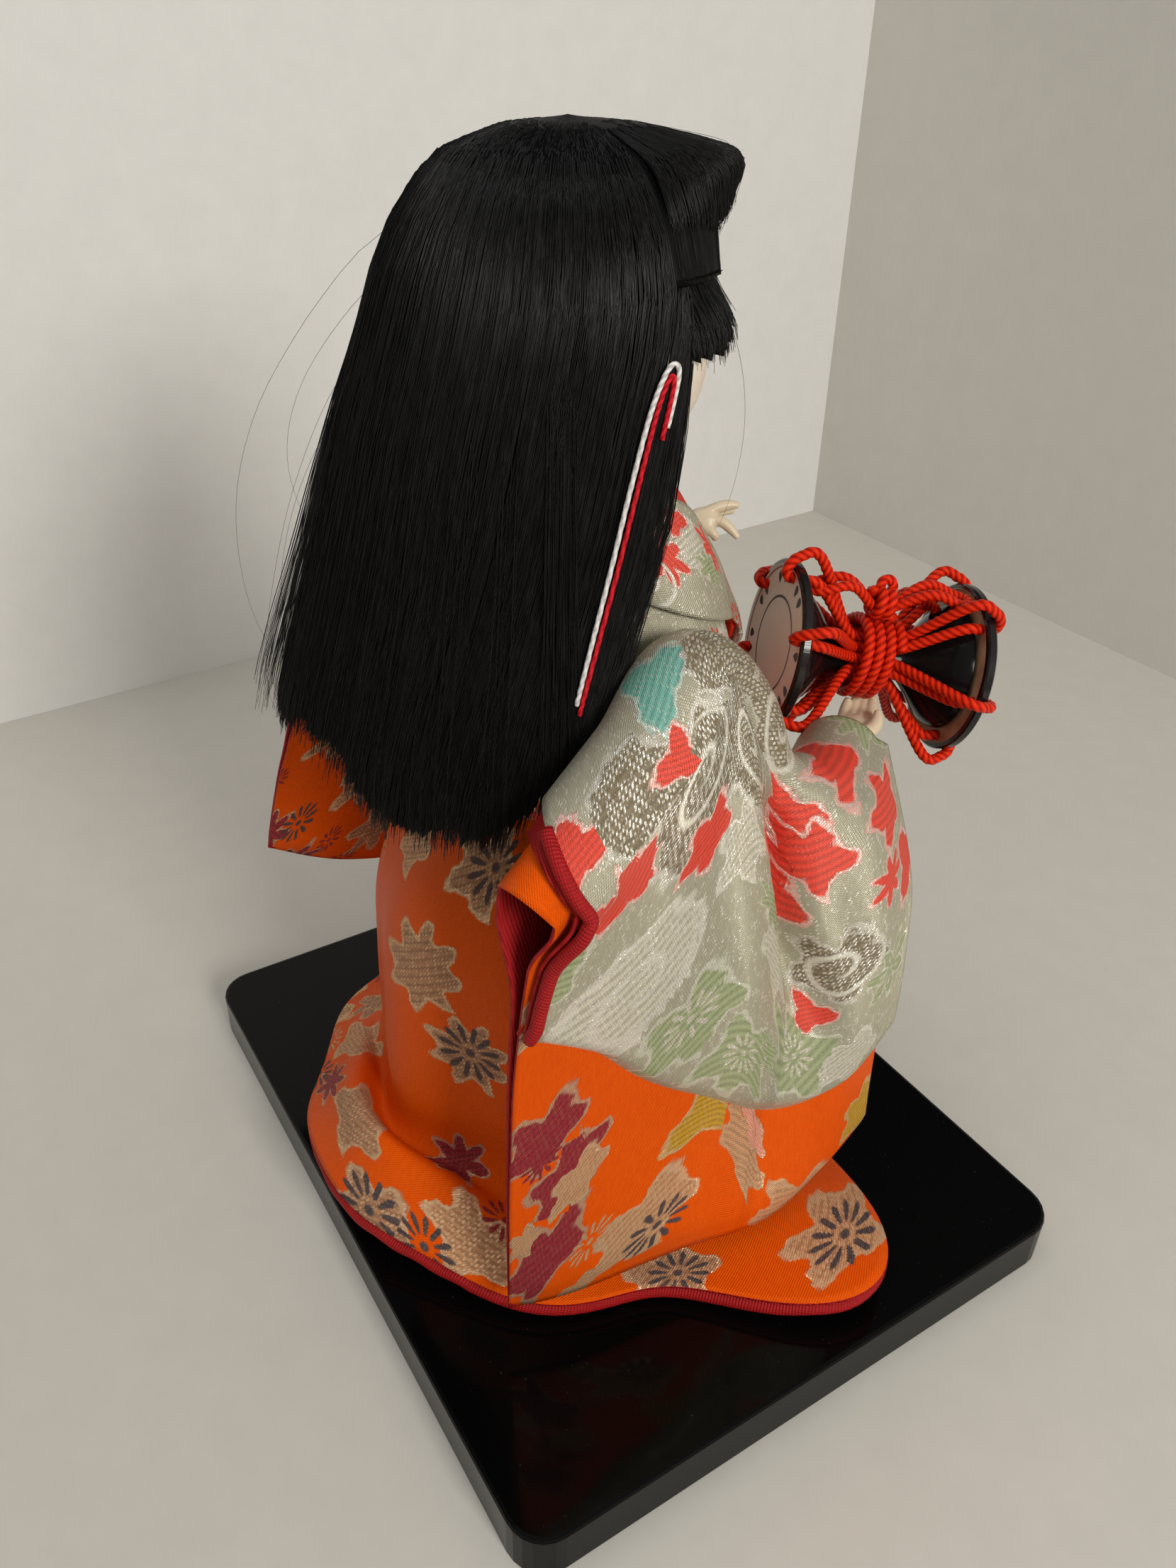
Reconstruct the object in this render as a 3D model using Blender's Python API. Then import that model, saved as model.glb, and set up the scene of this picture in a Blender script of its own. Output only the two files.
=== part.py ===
"""Hina doll: a standing musician in a long kimono, holding a small hourglass drum, on a lacquered board.

Metres, +Z up. The origin is the centre of the board's underside. The doll faces -Y, so its right
hand is on the -X side. Every object is one closed body.
"""

import math

import bmesh
import bpy
from mathutils import Matrix, Vector

# Board and the dowel that the doll stands on
board_width = 0.150
board_depth = 0.120
board_thickness = 0.010
board_corner_radius = 0.007
board_edge_round = 0.0008
peg_radius = 0.004
screw_shank_radius = 0.0015
screw_head_radius = 0.0032
screw_head_depth = 0.0022
screw_length = 0.022
screw_recess = 0.0003

# Clearances and cloth
rest_gap = 0.0003
fit_gap = 0.0004
cloth_wall = 0.0008
overrun = 0.004
weld_distance = 1e-6

# Doll axis on the board, and the heights of the figure above the board
doll_x = 0.004
doll_y = 0.007
waist_height = 0.087
collar_height = 0.131
shoulder_below_collar = 0.015
shoulder_height = collar_height - shoulder_below_collar
core_split_height = 0.066
head_above_collar = 0.0275
head_center_height = collar_height + head_above_collar

# Torso as dressed
chest_half_width = 0.026
chest_half_depth = 0.026
core_dowel_radius = 0.0025
core_dowel_length = 0.024
peg_to_dowel = 0.008
peg_height = core_split_height - core_dowel_length / 2.0 - peg_to_dowel
leg_core_base_radius = 0.022
leg_core_top_radius = 0.014

# Skirt, hem and train
skirt_column_radius = 0.037
hem_back_radius = 0.0525
hem_front_radius = 0.046
hem_side_radius = 0.053
hem_tip_right_length = 0.0245
hem_tip_left_length = 0.014
hem_lift = 0.0045
train_corner_length = 0.0015
train_pile_height = 0.013
hem_roll_radius = 0.0016
skirt_fold_depth = 0.0016
skirt_fold_count = 7

# Obi and its cord
obi_height = 0.019
obi_wall = 0.0012
obi_cord_radius = 0.0009
obi_front_half_deg = 36.0

# Collar bands: how far each shows above the jacket's own band at the front, and that band's width
crimson_band_show = 0.0020
white_band_show = 0.0034
white_band_wall = 0.0022
jacket_band_width = 0.0046
collar_tuck = 0.0014
collar_drop = 0.0178
collar_rise = 0.0005

# Head, face and neck
head_half_width = 0.0175
head_half_depth = 0.0195
head_half_height = 0.0205
head_forward = 0.0023
neck_radius = 0.0056
neck_length = 0.017
neck_peg_radius = 0.0022
neck_peg_length = 0.040
neck_peg_in_head = 0.014
eye_radius = 0.0021
eye_spacing = 0.0078
eye_height_drop = 0.0015
nose_size = 0.0017
ear_size = 0.0032

# Hair
hair_above_head = 0.0270
hair_top_height = head_center_height + hair_above_head
hair_drop = 0.0905
hair_reach = 0.050
hair_wall = 0.0066
skull_gap = 0.0009
fringe_start_drop = 0.0085
crown_drop = 0.0175
fringe_end_drop = 0.0195
lock_end_drop = 0.0260
hair_cord_radius = 0.00045

# Arms and hands
arm_wire_radius = 0.0009
arm_pad_radius = 0.0024
hand_length = 0.0150
hand_width = 0.0064
hand_thickness = 0.0032
finger_radius = 0.00092
wrist_socket_depth = 0.0045

# Sleeves
sleeve_reach = 0.050
sleeve_gap = 0.0005
sleeve_step = cloth_wall + sleeve_gap
sleeve_top_half = 0.0050
sleeve_bottom_half = 0.0022
sleeve_fold_depth = 0.0042

# Drum
drum_x = -0.014
drum_y = -0.046
drum_height = 0.099
hand_below_drum = 0.012
drum_length = 0.036
drum_waist_radius = 0.0040
drum_cup_radius = 0.0115
drum_cup_wall = 0.0012
drum_waist_half = 0.0055
drum_head_radius = 0.0153
drum_head_thickness = 0.0019
drum_head_rim = 0.0011
drum_turn_deg = 245.3
drum_dip_deg = 10.3
cord_radius = 0.00095
cord_legs = 12
lashing_turns = 5
lashing_pitch = 0.00236
bow_loop_length = 0.0115
bow_width = 0.0042
bow_rise = 0.0062
bow_cross = 0.0018

points_per_turn = 24
board_top = board_thickness
drum_center = Vector((drum_x, drum_y, board_top + drum_height))

# Materials: colour, roughness, metallic
FINISHES = {
    "lacquer": ((0.006, 0.006, 0.007), 0.08, 0.0),
    "wood": ((0.62, 0.45, 0.28), 0.6, 0.0),
    "steel": ((0.6, 0.6, 0.6), 0.35, 1.0),
    "straw": ((0.66, 0.55, 0.33), 0.9, 0.0),
    "padding": ((0.78, 0.74, 0.66), 0.95, 0.0),
    "orange_brocade": ((0.86, 0.16, 0.008), 0.45, 0.0),
    "green_brocade": ((0.45, 0.46, 0.31), 0.38, 0.3),
    "crimson_lining": ((0.42, 0.012, 0.02), 0.7, 0.0),
    "white_silk": ((0.86, 0.84, 0.78), 0.6, 0.0),
    "skin": ((0.80, 0.74, 0.62), 0.5, 0.0),
    "eye": ((0.02, 0.015, 0.012), 0.1, 0.0),
    "hair": ((0.008, 0.008, 0.009), 0.4, 0.0),
    "red_cord": ((0.62, 0.02, 0.012), 0.5, 0.0),
    "white_cord": ((0.85, 0.83, 0.80), 0.6, 0.0),
    "drum_lacquer": ((0.010, 0.008, 0.008), 0.15, 0.0),
    "drum_skin": ((0.66, 0.45, 0.34), 0.5, 0.0),
}


def finish(name):
    """The material of that name, made on first use."""
    made = bpy.data.materials.get(name)
    if made is None:
        colour, roughness, metallic = FINISHES[name]
        made = bpy.data.materials.new(name)
        made.use_nodes = True
        shader = made.node_tree.nodes["Principled BSDF"]
        shader.inputs["Base Color"].default_value = (*colour, 1.0)
        shader.inputs["Roughness"].default_value = roughness
        shader.inputs["Metallic"].default_value = metallic
    return made


# Helpers


def clear_scene():
    for item in list(bpy.data.objects):
        bpy.data.objects.remove(item, do_unlink=True)


def mix(a, b, share):
    return a + (b - a) * share


def clamp01(value):
    return min(max(value, 0.0), 1.0)


def ease(value):
    """0 to 1 with a flat start and end."""
    held = clamp01(value)
    return held * held * (3.0 - 2.0 * held)


def spline(points, share):
    """A point on the smooth curve through the points, at a share of its spans."""
    spans = len(points) - 1
    place = clamp01(share) * spans
    i = min(int(place), spans - 1)
    t = place - i
    before, start = points[max(i - 1, 0)], points[i]
    end, after = points[i + 1], points[min(i + 2, spans)]
    lead = (end - before) / 2.0
    trail = (after - start) / 2.0
    chord = end - start
    return start + t * (lead + t * ((3.0 * chord - 2.0 * lead - trail) + t * (lead + trail - 2.0 * chord)))


def table_at(rows, place):
    """The columns of a table after its first, smoothly between rows, at that place in the first column."""
    i = 0
    while i < len(rows) - 2 and place > rows[i + 1][0]:
        i += 1
    share = (place - rows[i][0]) / (rows[i + 1][0] - rows[i][0])
    found = [Vector(row[1:]) for row in rows]
    return spline(found, (i + clamp01(share)) / (len(rows) - 1))


def on_axis(height):
    """A point on the doll's axis, at a height above the board."""
    return Vector((doll_x, doll_y, board_top + height))


def shown(name, mesh, material):
    item = bpy.data.objects.new(name, mesh)
    bpy.context.scene.collection.objects.link(item)
    mesh.materials.append(finish(material))
    return item


def faced_out(work):
    bmesh.ops.recalc_face_normals(work, faces=work.faces)
    if work.calc_volume(signed=True) < 0.0:
        bmesh.ops.reverse_faces(work, faces=work.faces)


def from_bmesh(name, work, material, smooth=True):
    mesh = bpy.data.meshes.new(name)
    work.to_mesh(mesh)
    work.free()
    item = shown(name, mesh, material)
    if smooth:
        mesh.shade_smooth()
        mesh.set_sharp_from_angle(angle=math.radians(40.0))
    return item


def shell(name, outer, inner, material, closed=False):
    """A solid between two grids of points, all cut into triangles the same way. Closed joins the ends."""
    work = bmesh.new()
    outside = [[work.verts.new(p) for p in row] for row in outer]
    inside = [[work.verts.new(p) for p in row] for row in inner]
    rows, across = len(outer), len(outer[0])
    for i in range(rows if closed else rows - 1):
        k = (i + 1) % rows
        for j in range(across - 1):
            work.faces.new((outside[i][j], outside[k][j], outside[k][j + 1]))
            work.faces.new((outside[i][j], outside[k][j + 1], outside[i][j + 1]))
            work.faces.new((inside[i][j], inside[k][j + 1], inside[k][j]))
            work.faces.new((inside[i][j], inside[i][j + 1], inside[k][j + 1]))
        work.faces.new((outside[k][0], outside[i][0], inside[i][0], inside[k][0]))
        work.faces.new((outside[i][-1], outside[k][-1], inside[k][-1], inside[i][-1]))
    if not closed:
        for j in range(across - 1):
            work.faces.new((outside[0][j], outside[0][j + 1], inside[0][j + 1], inside[0][j]))
            work.faces.new((outside[-1][j + 1], outside[-1][j], inside[-1][j], inside[-1][j + 1]))
    bmesh.ops.remove_doubles(work, verts=work.verts, dist=weld_distance)
    faced_out(work)
    return from_bmesh(name, work, material)


def inset_grid(grid, distance):
    """A closed grid moved inwards. Its rows go round anticlockwise, each from the top down."""
    rows = len(grid)
    found = []
    for i, row in enumerate(grid):
        line = []
        for j, point in enumerate(row):
            along = grid[(i + 1) % rows][j] - grid[i - 1][j]
            down = row[min(j + 1, len(row) - 1)] - row[max(j - 1, 0)]
            line.append(point - down.cross(along).normalized() * distance)
        found.append(line)
    return found


def lofted(name, rings, material, smooth=True):
    """A solid through closed rings of equal count, with flat ends."""
    work = bmesh.new()
    made = [[work.verts.new(p) for p in ring] for ring in rings]
    for lower, upper in zip(made, made[1:]):
        for i in range(len(lower)):
            k = (i + 1) % len(lower)
            work.faces.new((lower[i], lower[k], upper[k], upper[i]))
    work.faces.new(made[0][::-1])
    work.faces.new(made[-1])
    faced_out(work)
    return from_bmesh(name, work, material, smooth)


def turned(name, profile, sides, material, smooth=True):
    """A round solid from (radius, height) pairs about Z, closed on the axis at both ends."""
    work = bmesh.new()
    points = [work.verts.new((radius, 0.0, height)) for radius, height in profile]
    edges = [work.edges.new(pair) for pair in zip(points, points[1:])]
    around = {"cent": (0, 0, 0), "axis": (0, 0, 1), "angle": math.tau, "steps": sides}
    bmesh.ops.spin(work, geom=points + edges, use_duplicate=False, **around)
    bmesh.ops.remove_doubles(work, verts=work.verts, dist=weld_distance)
    faced_out(work)
    return from_bmesh(name, work, material, smooth)


def tube(name, points, radius, material, bevel_resolution=2, closed=False):
    """A round cord or rod along the points."""
    curve = bpy.data.curves.new(name, "CURVE")
    curve.dimensions = "3D"
    curve.bevel_depth = radius
    curve.bevel_resolution = bevel_resolution
    curve.use_fill_caps = True
    line = curve.splines.new("POLY")
    line.points.add(len(points) - 1)
    for place, point in zip(line.points, points):
        place.co = (*point, 1.0)
    line.use_cyclic_u = closed
    item = bpy.data.objects.new(name, curve)
    bpy.context.scene.collection.objects.link(item)
    curve.materials.append(finish(material))
    return item


def solid_tube(name, points, radius, material, bevel_resolution=2):
    """The same as a mesh, so that a Boolean can take it."""
    item = tube(name, points, radius, material, bevel_resolution)
    graph = bpy.context.evaluated_depsgraph_get()
    mesh = bpy.data.meshes.new_from_object(item.evaluated_get(graph))
    bpy.data.objects.remove(item, do_unlink=True)
    made = bpy.data.objects.new(name, mesh)
    bpy.context.scene.collection.objects.link(made)
    work = bmesh.new()
    work.from_mesh(mesh)
    bmesh.ops.remove_doubles(work, verts=work.verts, dist=weld_distance)
    faced_out(work)
    work.to_mesh(mesh)
    work.free()
    mesh.shade_smooth()
    return made


def joined_by(item, other, operation, solver="EXACT"):
    """A Boolean step with the other shape, which stays as a hidden guide."""
    other.hide_render = True
    other.display_type = "WIRE"
    step = item.modifiers.new(other.name, "BOOLEAN")
    step.operation = operation
    step.solver = solver
    step.object = other


def cut(item, cutter, solver="EXACT"):
    joined_by(item, cutter, "DIFFERENCE", solver)


def placed(item, matrix):
    item.data.transform(matrix)
    return item


def ring_angles(count):
    return [math.tau * i / count for i in range(count)]


# The dressed figure's outer surface. Height as a share of collar_height; half width and half depth
# as shares of the chest's; shift forward as a share of the chest's half depth.
torso_level_shares = (
    (0.60, 0.90, 0.92, 0.03),
    (0.68, 0.90, 0.93, 0.10),
    (0.76, 0.96, 0.98, 0.19),
    (0.84, 1.00, 0.97, 0.23),
    (0.91, 0.96, 0.82, 0.20),
    (0.96, 0.79, 0.65, 0.14),
    (1.00, 0.46, 0.46, 0.08),
    (1.04, 0.38, 0.40, 0.06),
)


def torso_point(angle, height, out=0.0):
    """A point that far outside the jacket's outer face. Angle is 0 at +X and 90 degrees at the back."""
    wide, deep, ahead = table_at(torso_level_shares, height / collar_height)
    x = chest_half_width * wide * math.cos(angle)
    y = chest_half_depth * (deep * math.sin(angle) - ahead)
    away = Vector((math.cos(angle) / wide, math.sin(angle) / deep, 0)).normalized()
    return on_axis(height) + Vector((x, y, 0)) + away * out


def torso_band(name, spans, out, wall, material, count, levels):
    """A closed band on the torso. Spans holds the top and bottom height at each angle."""
    grids = []
    for reach in (out, out - wall):
        grid = []
        for angle, (top, low) in zip(ring_angles(count), spans):
            grid.append([torso_point(angle, mix(top, low, j / (levels - 1)), reach) for j in range(levels)])
        grids.append(grid)
    return shell(name, *grids, material, closed=True)


# Share of the way down the skirt; share of the way out from waist to column; flare share; height share
skirt_profile_shares = (
    (0.00, 0.00, 0.00, 0.958),
    (0.10, 0.06, 0.00, 0.915),
    (0.20, 0.34, 0.00, 0.860),
    (0.32, 0.70, 0.00, 0.740),
    (0.45, 0.94, 0.00, 0.580),
    (0.58, 1.00, 0.00, 0.400),
    (0.69, 1.00, 0.03, 0.240),
    (0.78, 1.00, 0.11, 0.120),
    (0.86, 1.00, 0.31, 0.050),
    (0.93, 1.00, 0.65, 0.020),
    (1.00, 1.00, 1.00, 0.010),
)


def bump(angle, center_deg, width_deg):
    """1 at the centre, falling to 0 away from it, round the circle."""
    away = (math.degrees(angle) - center_deg + 180.0) % 360.0 - 180.0
    return math.exp(-((away / width_deg) ** 2))


def hem_reach(angle):
    """How far the hem lies from the doll's axis in that direction."""
    back = max(math.sin(angle), 0.0) ** 2
    front = max(-math.sin(angle), 0.0) ** 2
    base = back * hem_back_radius + front * hem_front_radius + (1.0 - back - front) * hem_side_radius
    right_tip = hem_tip_right_length * bump(angle, 196.0, 19.0)
    left_tip = hem_tip_left_length * bump(angle, 342.0, 22.0)
    return base + right_tip + left_tip + train_corner_length * bump(angle, 122.0, 22.0)


def hem_height(angle):
    """The train's lip curls up at the back and at both tips."""
    curl = bump(angle, 80.0, 45.0) + 0.9 * bump(angle, 200.0, 16.0) + 0.5 * bump(angle, 340.0, 18.0)
    return hem_lift * curl


def skirt_point(angle, share):
    column, flare, up = table_at(skirt_profile_shares, share)
    ripple = math.cos(skirt_fold_count * angle + 0.7) + 0.5 * math.cos(3.0 * angle - 0.9)
    radius = skirt_column_radius + flare * (hem_reach(angle) - skirt_column_radius)
    radius += skirt_fold_depth * ripple * ease(share * 1.5)
    curl = hem_height(angle) * ease((share - 0.78) / 0.22)
    pile = train_pile_height * bump(angle, 95.0, 42.0) * math.exp(-(((share - 0.89) / 0.07) ** 2))
    height = rest_gap + 2.0 * hem_roll_radius + up * waist_height + curl + pile
    wide = on_axis(height) + Vector((math.cos(angle), math.sin(angle), 0)) * radius
    narrow = torso_point(angle, waist_height, -sleeve_step - fit_gap)
    narrow.z = wide.z
    return narrow.lerp(wide, column)


# Board, dowel and screw


def rounded_board():
    work = bmesh.new()
    bmesh.ops.create_cube(work, size=1.0)
    bmesh.ops.scale(work, verts=work.verts, vec=(board_width, board_depth, board_thickness))
    bmesh.ops.translate(work, verts=work.verts, vec=(0, 0, board_thickness / 2.0))
    upright = [e for e in work.edges if abs(e.verts[0].co.z - e.verts[1].co.z) > board_thickness / 2.0]
    shape = {"profile": 0.5, "affect": "EDGES", "clamp_overlap": True}
    bmesh.ops.bevel(work, geom=upright, offset=board_corner_radius, segments=6, **shape)
    rim = [e for e in work.edges if min(v.co.z for v in e.verts) > board_thickness * 0.99]
    bmesh.ops.bevel(work, geom=rim, offset=board_edge_round, segments=2, **shape)
    board = from_bmesh("base_board", work, "lacquer")
    wide = screw_head_radius + fit_gap
    narrow = screw_shank_radius + fit_gap
    profile = (
        (0.0, -overrun),
        (wide, -overrun),
        (wide, screw_recess),
        (narrow, screw_recess + screw_head_depth),
        (narrow, board_thickness + overrun),
        (0.0, board_thickness + overrun),
    )
    cutter = turned("screw_hole_cutter", profile, 16, "wood")
    cut(board, placed(cutter, Matrix.Translation((doll_x, doll_y, 0))))


def dowel_and_screw():
    pilot = screw_shank_radius + fit_gap
    pilot_depth = screw_length - board_thickness + fit_gap
    profile = (
        (pilot, 0.0),
        (peg_radius, 0.0),
        (peg_radius, peg_height - board_edge_round),
        (peg_radius - board_edge_round, peg_height),
        (0.0, peg_height),
        (0.0, pilot_depth),
        (pilot, pilot_depth),
        (pilot, 0.0),
    )
    placed(turned("base_peg", profile, 16, "wood"), Matrix.Translation(on_axis(rest_gap)))
    slot_depth = screw_head_depth / 3.0
    screw = (
        (0.0, screw_recess + slot_depth),
        (screw_shank_radius, screw_recess + slot_depth),
        (screw_shank_radius, screw_recess),
        (screw_head_radius, screw_recess),
        (screw_shank_radius, screw_recess + screw_head_depth),
        (screw_shank_radius, screw_length - screw_shank_radius),
        (0.0, screw_length),
    )
    placed(turned("base_screw", screw, 14, "steel"), Matrix.Translation((doll_x, doll_y, 0)))


# Arms: points of the wire from the middle of the chest to the wrist, as shares of sleeve_reach
# from the doll's axis at shoulder height.
held_share = (drum_height - hand_below_drum - shoulder_height) / sleeve_reach
right_arm_shares = (
    (0.00, -0.08, -0.12),
    (-0.28, -0.02, -0.10),
    (-0.56, -0.02, -0.14),
    (-0.74, -0.10, 0.45 * held_share),
    (-0.84, -0.28, 0.79 * held_share),
    (-0.78, -0.50, 0.95 * held_share),
    (-0.66, -0.70, 0.98 * held_share),
    (-0.53, -0.87, held_share),
)
left_arm_shares = (
    (0.00, -0.08, -0.12),
    (0.28, -0.02, -0.10),
    (0.56, -0.02, -0.14),
    (0.76, -0.12, -0.24),
    (0.82, -0.30, -0.28),
    (0.72, -0.46, -0.22),
    (0.57, -0.60, -0.12),
    (0.42, -0.72, -0.05),
)
pad_start_share = 0.22
pad_end_share = 0.86
armhole_start_share = 0.08
armhole_end_share = 0.40


def from_shoulders(shares):
    return on_axis(shoulder_height) + Vector(shares) * sleeve_reach


def arm_line(shares, start, end, count):
    """Points along the arm between two shares of its length."""
    points = [from_shoulders(row) for row in shares]
    return [spline(points, mix(start, end, i / (count - 1))) for i in range(count)]


def arms():
    right = arm_line(right_arm_shares, 1.0, 0.0, 15)
    left = arm_line(left_arm_shares, 0.0, 1.0, 15)[1:]
    tube("arm_wire", right + left, arm_wire_radius, "steel")
    for side, shares in (("right", right_arm_shares), ("left", left_arm_shares)):
        line = arm_line(shares, pad_start_share, pad_end_share, 11)
        pad = solid_tube(side + "_arm_pad", line, arm_pad_radius, "padding")
        bore = arm_line(shares, pad_start_share - 0.06, pad_end_share + 0.06, 15)
        cut(pad, solid_tube(side + "_arm_bore_cutter", bore, arm_wire_radius + fit_gap, "padding"))
        hole = arm_line(shares, armhole_start_share, armhole_end_share, 7)
        solid_tube(side + "_armhole_cutter", hole, arm_pad_radius + fit_gap, "padding")


def cut_armholes(item, sides=("right", "left"), solver="EXACT"):
    for side in sides:
        cut(item, bpy.data.objects[side + "_armhole_cutter"], solver)


# Share along the palm; width and thickness as shares of the hand's
palm_shares = (
    (0.00, 0.72, 1.40),
    (0.34, 0.76, 1.35),
    (0.50, 0.95, 1.05),
    (0.80, 1.00, 1.00),
    (1.00, 0.92, 0.80),
)
finger_length_shares = (0.44, 0.50, 0.48, 0.38)


def hand(name, shares, finger_bend, thumb_side):
    """A hand on the end of the arm wire: a wrist, a palm, four fingers and a thumb, fused."""
    before, end = arm_line(shares, 0.90, 1.0, 2)
    ahead = (end - before).normalized()
    side = ahead.cross(Vector((0, 0, 1))).normalized()
    frame = Matrix((side, ahead, side.cross(ahead))).transposed().to_4x4()
    frame.translation = end - ahead * wrist_socket_depth

    base = hand_length * 0.52 + wrist_socket_depth
    rings = []
    for share, wide, thick in palm_shares:
        around = [(math.cos(a), math.sin(a)) for a in ring_angles(12)]
        half_wide, half_thick = hand_width * wide / 2.0, hand_thickness * thick / 2.0
        rings.append([Vector((half_wide * c, base * share, half_thick * s)) for c, s in around])
    palm = lofted(name, rings, "skin")
    bend = math.radians(finger_bend)
    routes = []
    for i, length_share in enumerate(finger_length_shares):
        offset = hand_width * (i - 1.5) * 0.235
        length = hand_length * length_share
        route = []
        for k in range(4):
            turn = bend * k / 3
            along = base - finger_radius * 2.5 + length * math.sin(turn) / bend
            fall = length * (1.0 - math.cos(turn)) / bend
            route.append(Vector((offset * (1.0 + 0.25 * k / 3), along, -fall)))
        routes.append(route)
    thumb = ((0.28, -0.30, 0.00), (0.50, -0.17, -0.05), (0.54, -0.03, -0.12))
    routes.append(
        [Vector((thumb_side * hand_width * x, base + hand_length * y, hand_length * z)) for x, y, z in thumb]
    )
    for i, route in enumerate(routes):
        finger = solid_tube(f"{name}_finger_{i}", route, finger_radius * (1.0 - 0.02 * i), "skin", 1)
        joined_by(palm, placed(finger, frame), "UNION")
    placed(palm, frame)
    socket = [end - ahead * (wrist_socket_depth + overrun), end + ahead * fit_gap]
    cut(palm, solid_tube(name + "_socket_cutter", socket, arm_wire_radius + fit_gap, "skin"))


# Core of the figure


def cores():
    bore = peg_radius + fit_gap
    dowel_bore = core_dowel_radius + fit_gap
    half = core_dowel_length / 2.0 + fit_gap
    peg_room = peg_height + fit_gap + rest_gap
    leg = (
        (bore, 0.0),
        (leg_core_base_radius, 0.0),
        (leg_core_top_radius, core_split_height),
        (dowel_bore, core_split_height),
        (dowel_bore, core_split_height - half),
        (0.0, core_split_height - half),
        (0.0, peg_room),
        (bore, peg_room),
        (bore, 0.0),
    )
    placed(turned("leg_core", leg, 20, "wood"), Matrix.Translation(on_axis(rest_gap)))
    dowel = (
        (0.0, -core_dowel_length / 2.0),
        (core_dowel_radius, -core_dowel_length / 2.0),
        (core_dowel_radius, core_dowel_length / 2.0),
        (0.0, core_dowel_length / 2.0),
    )
    placed(turned("core_dowel", dowel, 12, "wood"), Matrix.Translation(on_axis(core_split_height + rest_gap)))

    low = core_split_height + 2.0 * rest_gap
    high = collar_height * 0.93
    inset = 2.0 * sleeve_step + obi_wall + 2.0 * fit_gap
    levels = 7
    rings = []
    for j in range(levels):
        height = mix(low, high, j / (levels - 1))
        full = ease((height - low) / (waist_height - low) * 0.8)
        middle = on_axis(height)
        ring = []
        for angle in ring_angles(20):
            reach = torso_point(angle, max(height, waist_height), -inset) - on_axis(max(height, waist_height))
            ring.append(middle + reach * mix(leg_core_top_radius / chest_half_width, 1.0, full))
        rings.append(ring)
    body = lofted("body_core", rings, "straw")
    start = head_base_height() - neck_peg_length + neck_peg_in_head - fit_gap
    for name, radius, bottom, top in (
        ("core_dowel_cutter", dowel_bore, low - overrun, core_split_height + half + rest_gap),
        ("neck_peg_cutter", neck_peg_radius + fit_gap, start, high + overrun),
    ):
        hole = ((0.0, bottom), (radius, bottom), (radius, top), (0.0, top))
        cut(body, placed(turned(name, hole, 12, "wood"), Matrix.Translation(on_axis(0.0))))
    wire = [*arm_line(right_arm_shares, 0.5, 0.0, 9), *arm_line(left_arm_shares, 0.0, 0.5, 9)[1:]]
    cut(body, solid_tube("arm_wire_cutter", wire, arm_wire_radius + fit_gap, "straw"))
    for side, shares in (("right", right_arm_shares), ("left", left_arm_shares)):
        stub = arm_line(shares, pad_start_share - 0.01, armhole_end_share, 6)
        cut(body, solid_tube(side + "_shoulder_cutter", stub, arm_pad_radius + fit_gap, "straw"))


def head_base_height():
    """Where the neck meets the jaw, above the board."""
    return head_center_height - head_half_height - neck_length * 0.30


# Kimono layers


def from_front(angle):
    """Degrees between that direction and straight ahead."""
    return abs((math.degrees(angle) + 270.0) % 360.0 - 180.0)


def collar_dip(angle):
    """1 at the front, falling to 0 at the sides."""
    return (1.0 - min(from_front(angle) / 112.0, 1.0)) ** 0.9


def collar_edge(angle):
    """Height of the jacket band's upper edge, which dips in a V at the front."""
    return collar_height + collar_rise - collar_drop * collar_dip(angle)


def collars():
    bands = (
        ("jacket_collar", 2.0 * fit_gap + cloth_wall, cloth_wall, 0.0, jacket_band_width, "green_brocade"),
        ("crimson_collar", 0.0, cloth_wall, crimson_band_show, collar_tuck, "crimson_lining"),
        ("white_collar", -sleeve_step, white_band_wall, white_band_show, collar_tuck, "white_silk"),
    )
    for name, out, wall, show, below, material in bands:
        spans = []
        for angle in ring_angles(24):
            edge, dip = collar_edge(angle), collar_dip(angle)
            spans.append((edge + show * mix(0.1, 1.0, dip), edge - below * mix(1.0, 1.15, dip)))
        torso_band(name, spans, out, wall, material, 24, 3)


def kimono_body():
    """The jacket is cut away in an arch at the front, where the obi shows."""
    obi_low = waist_height * 1.012
    jacket, bodice = [], []
    for angle in ring_angles(24):
        top = min(collar_height * 0.945, collar_edge(angle) - collar_tuck - 2.0 * fit_gap)
        closed = ease((from_front(angle) - 35.0) / 30.0)
        jacket.append((top, mix(obi_low + obi_height, waist_height * 0.985, closed)))
        bodice.append((top, obi_low + fit_gap))
    cut_armholes(torso_band("jacket_body", jacket, 0.0, cloth_wall, "green_brocade", 24, 7))
    torso_band("obi", [(obi_low + obi_height, obi_low)] * 24, -sleeve_step, obi_wall, "orange_brocade", 24, 3)
    inset = sleeve_step + obi_wall + fit_gap
    cut_armholes(torso_band("kimono_bodice", bodice, -inset, cloth_wall, "orange_brocade", 24, 7))

    out = obi_cord_radius + fit_gap - sleeve_step
    line = []
    for i in range(12):
        angle = math.radians(270.0 + obi_front_half_deg * mix(-1.0, 1.0, i / 11))
        line.append(torso_point(angle, obi_low + obi_height / 2.0, out))
    tube("obi_cord", line, obi_cord_radius, "red_cord")


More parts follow.
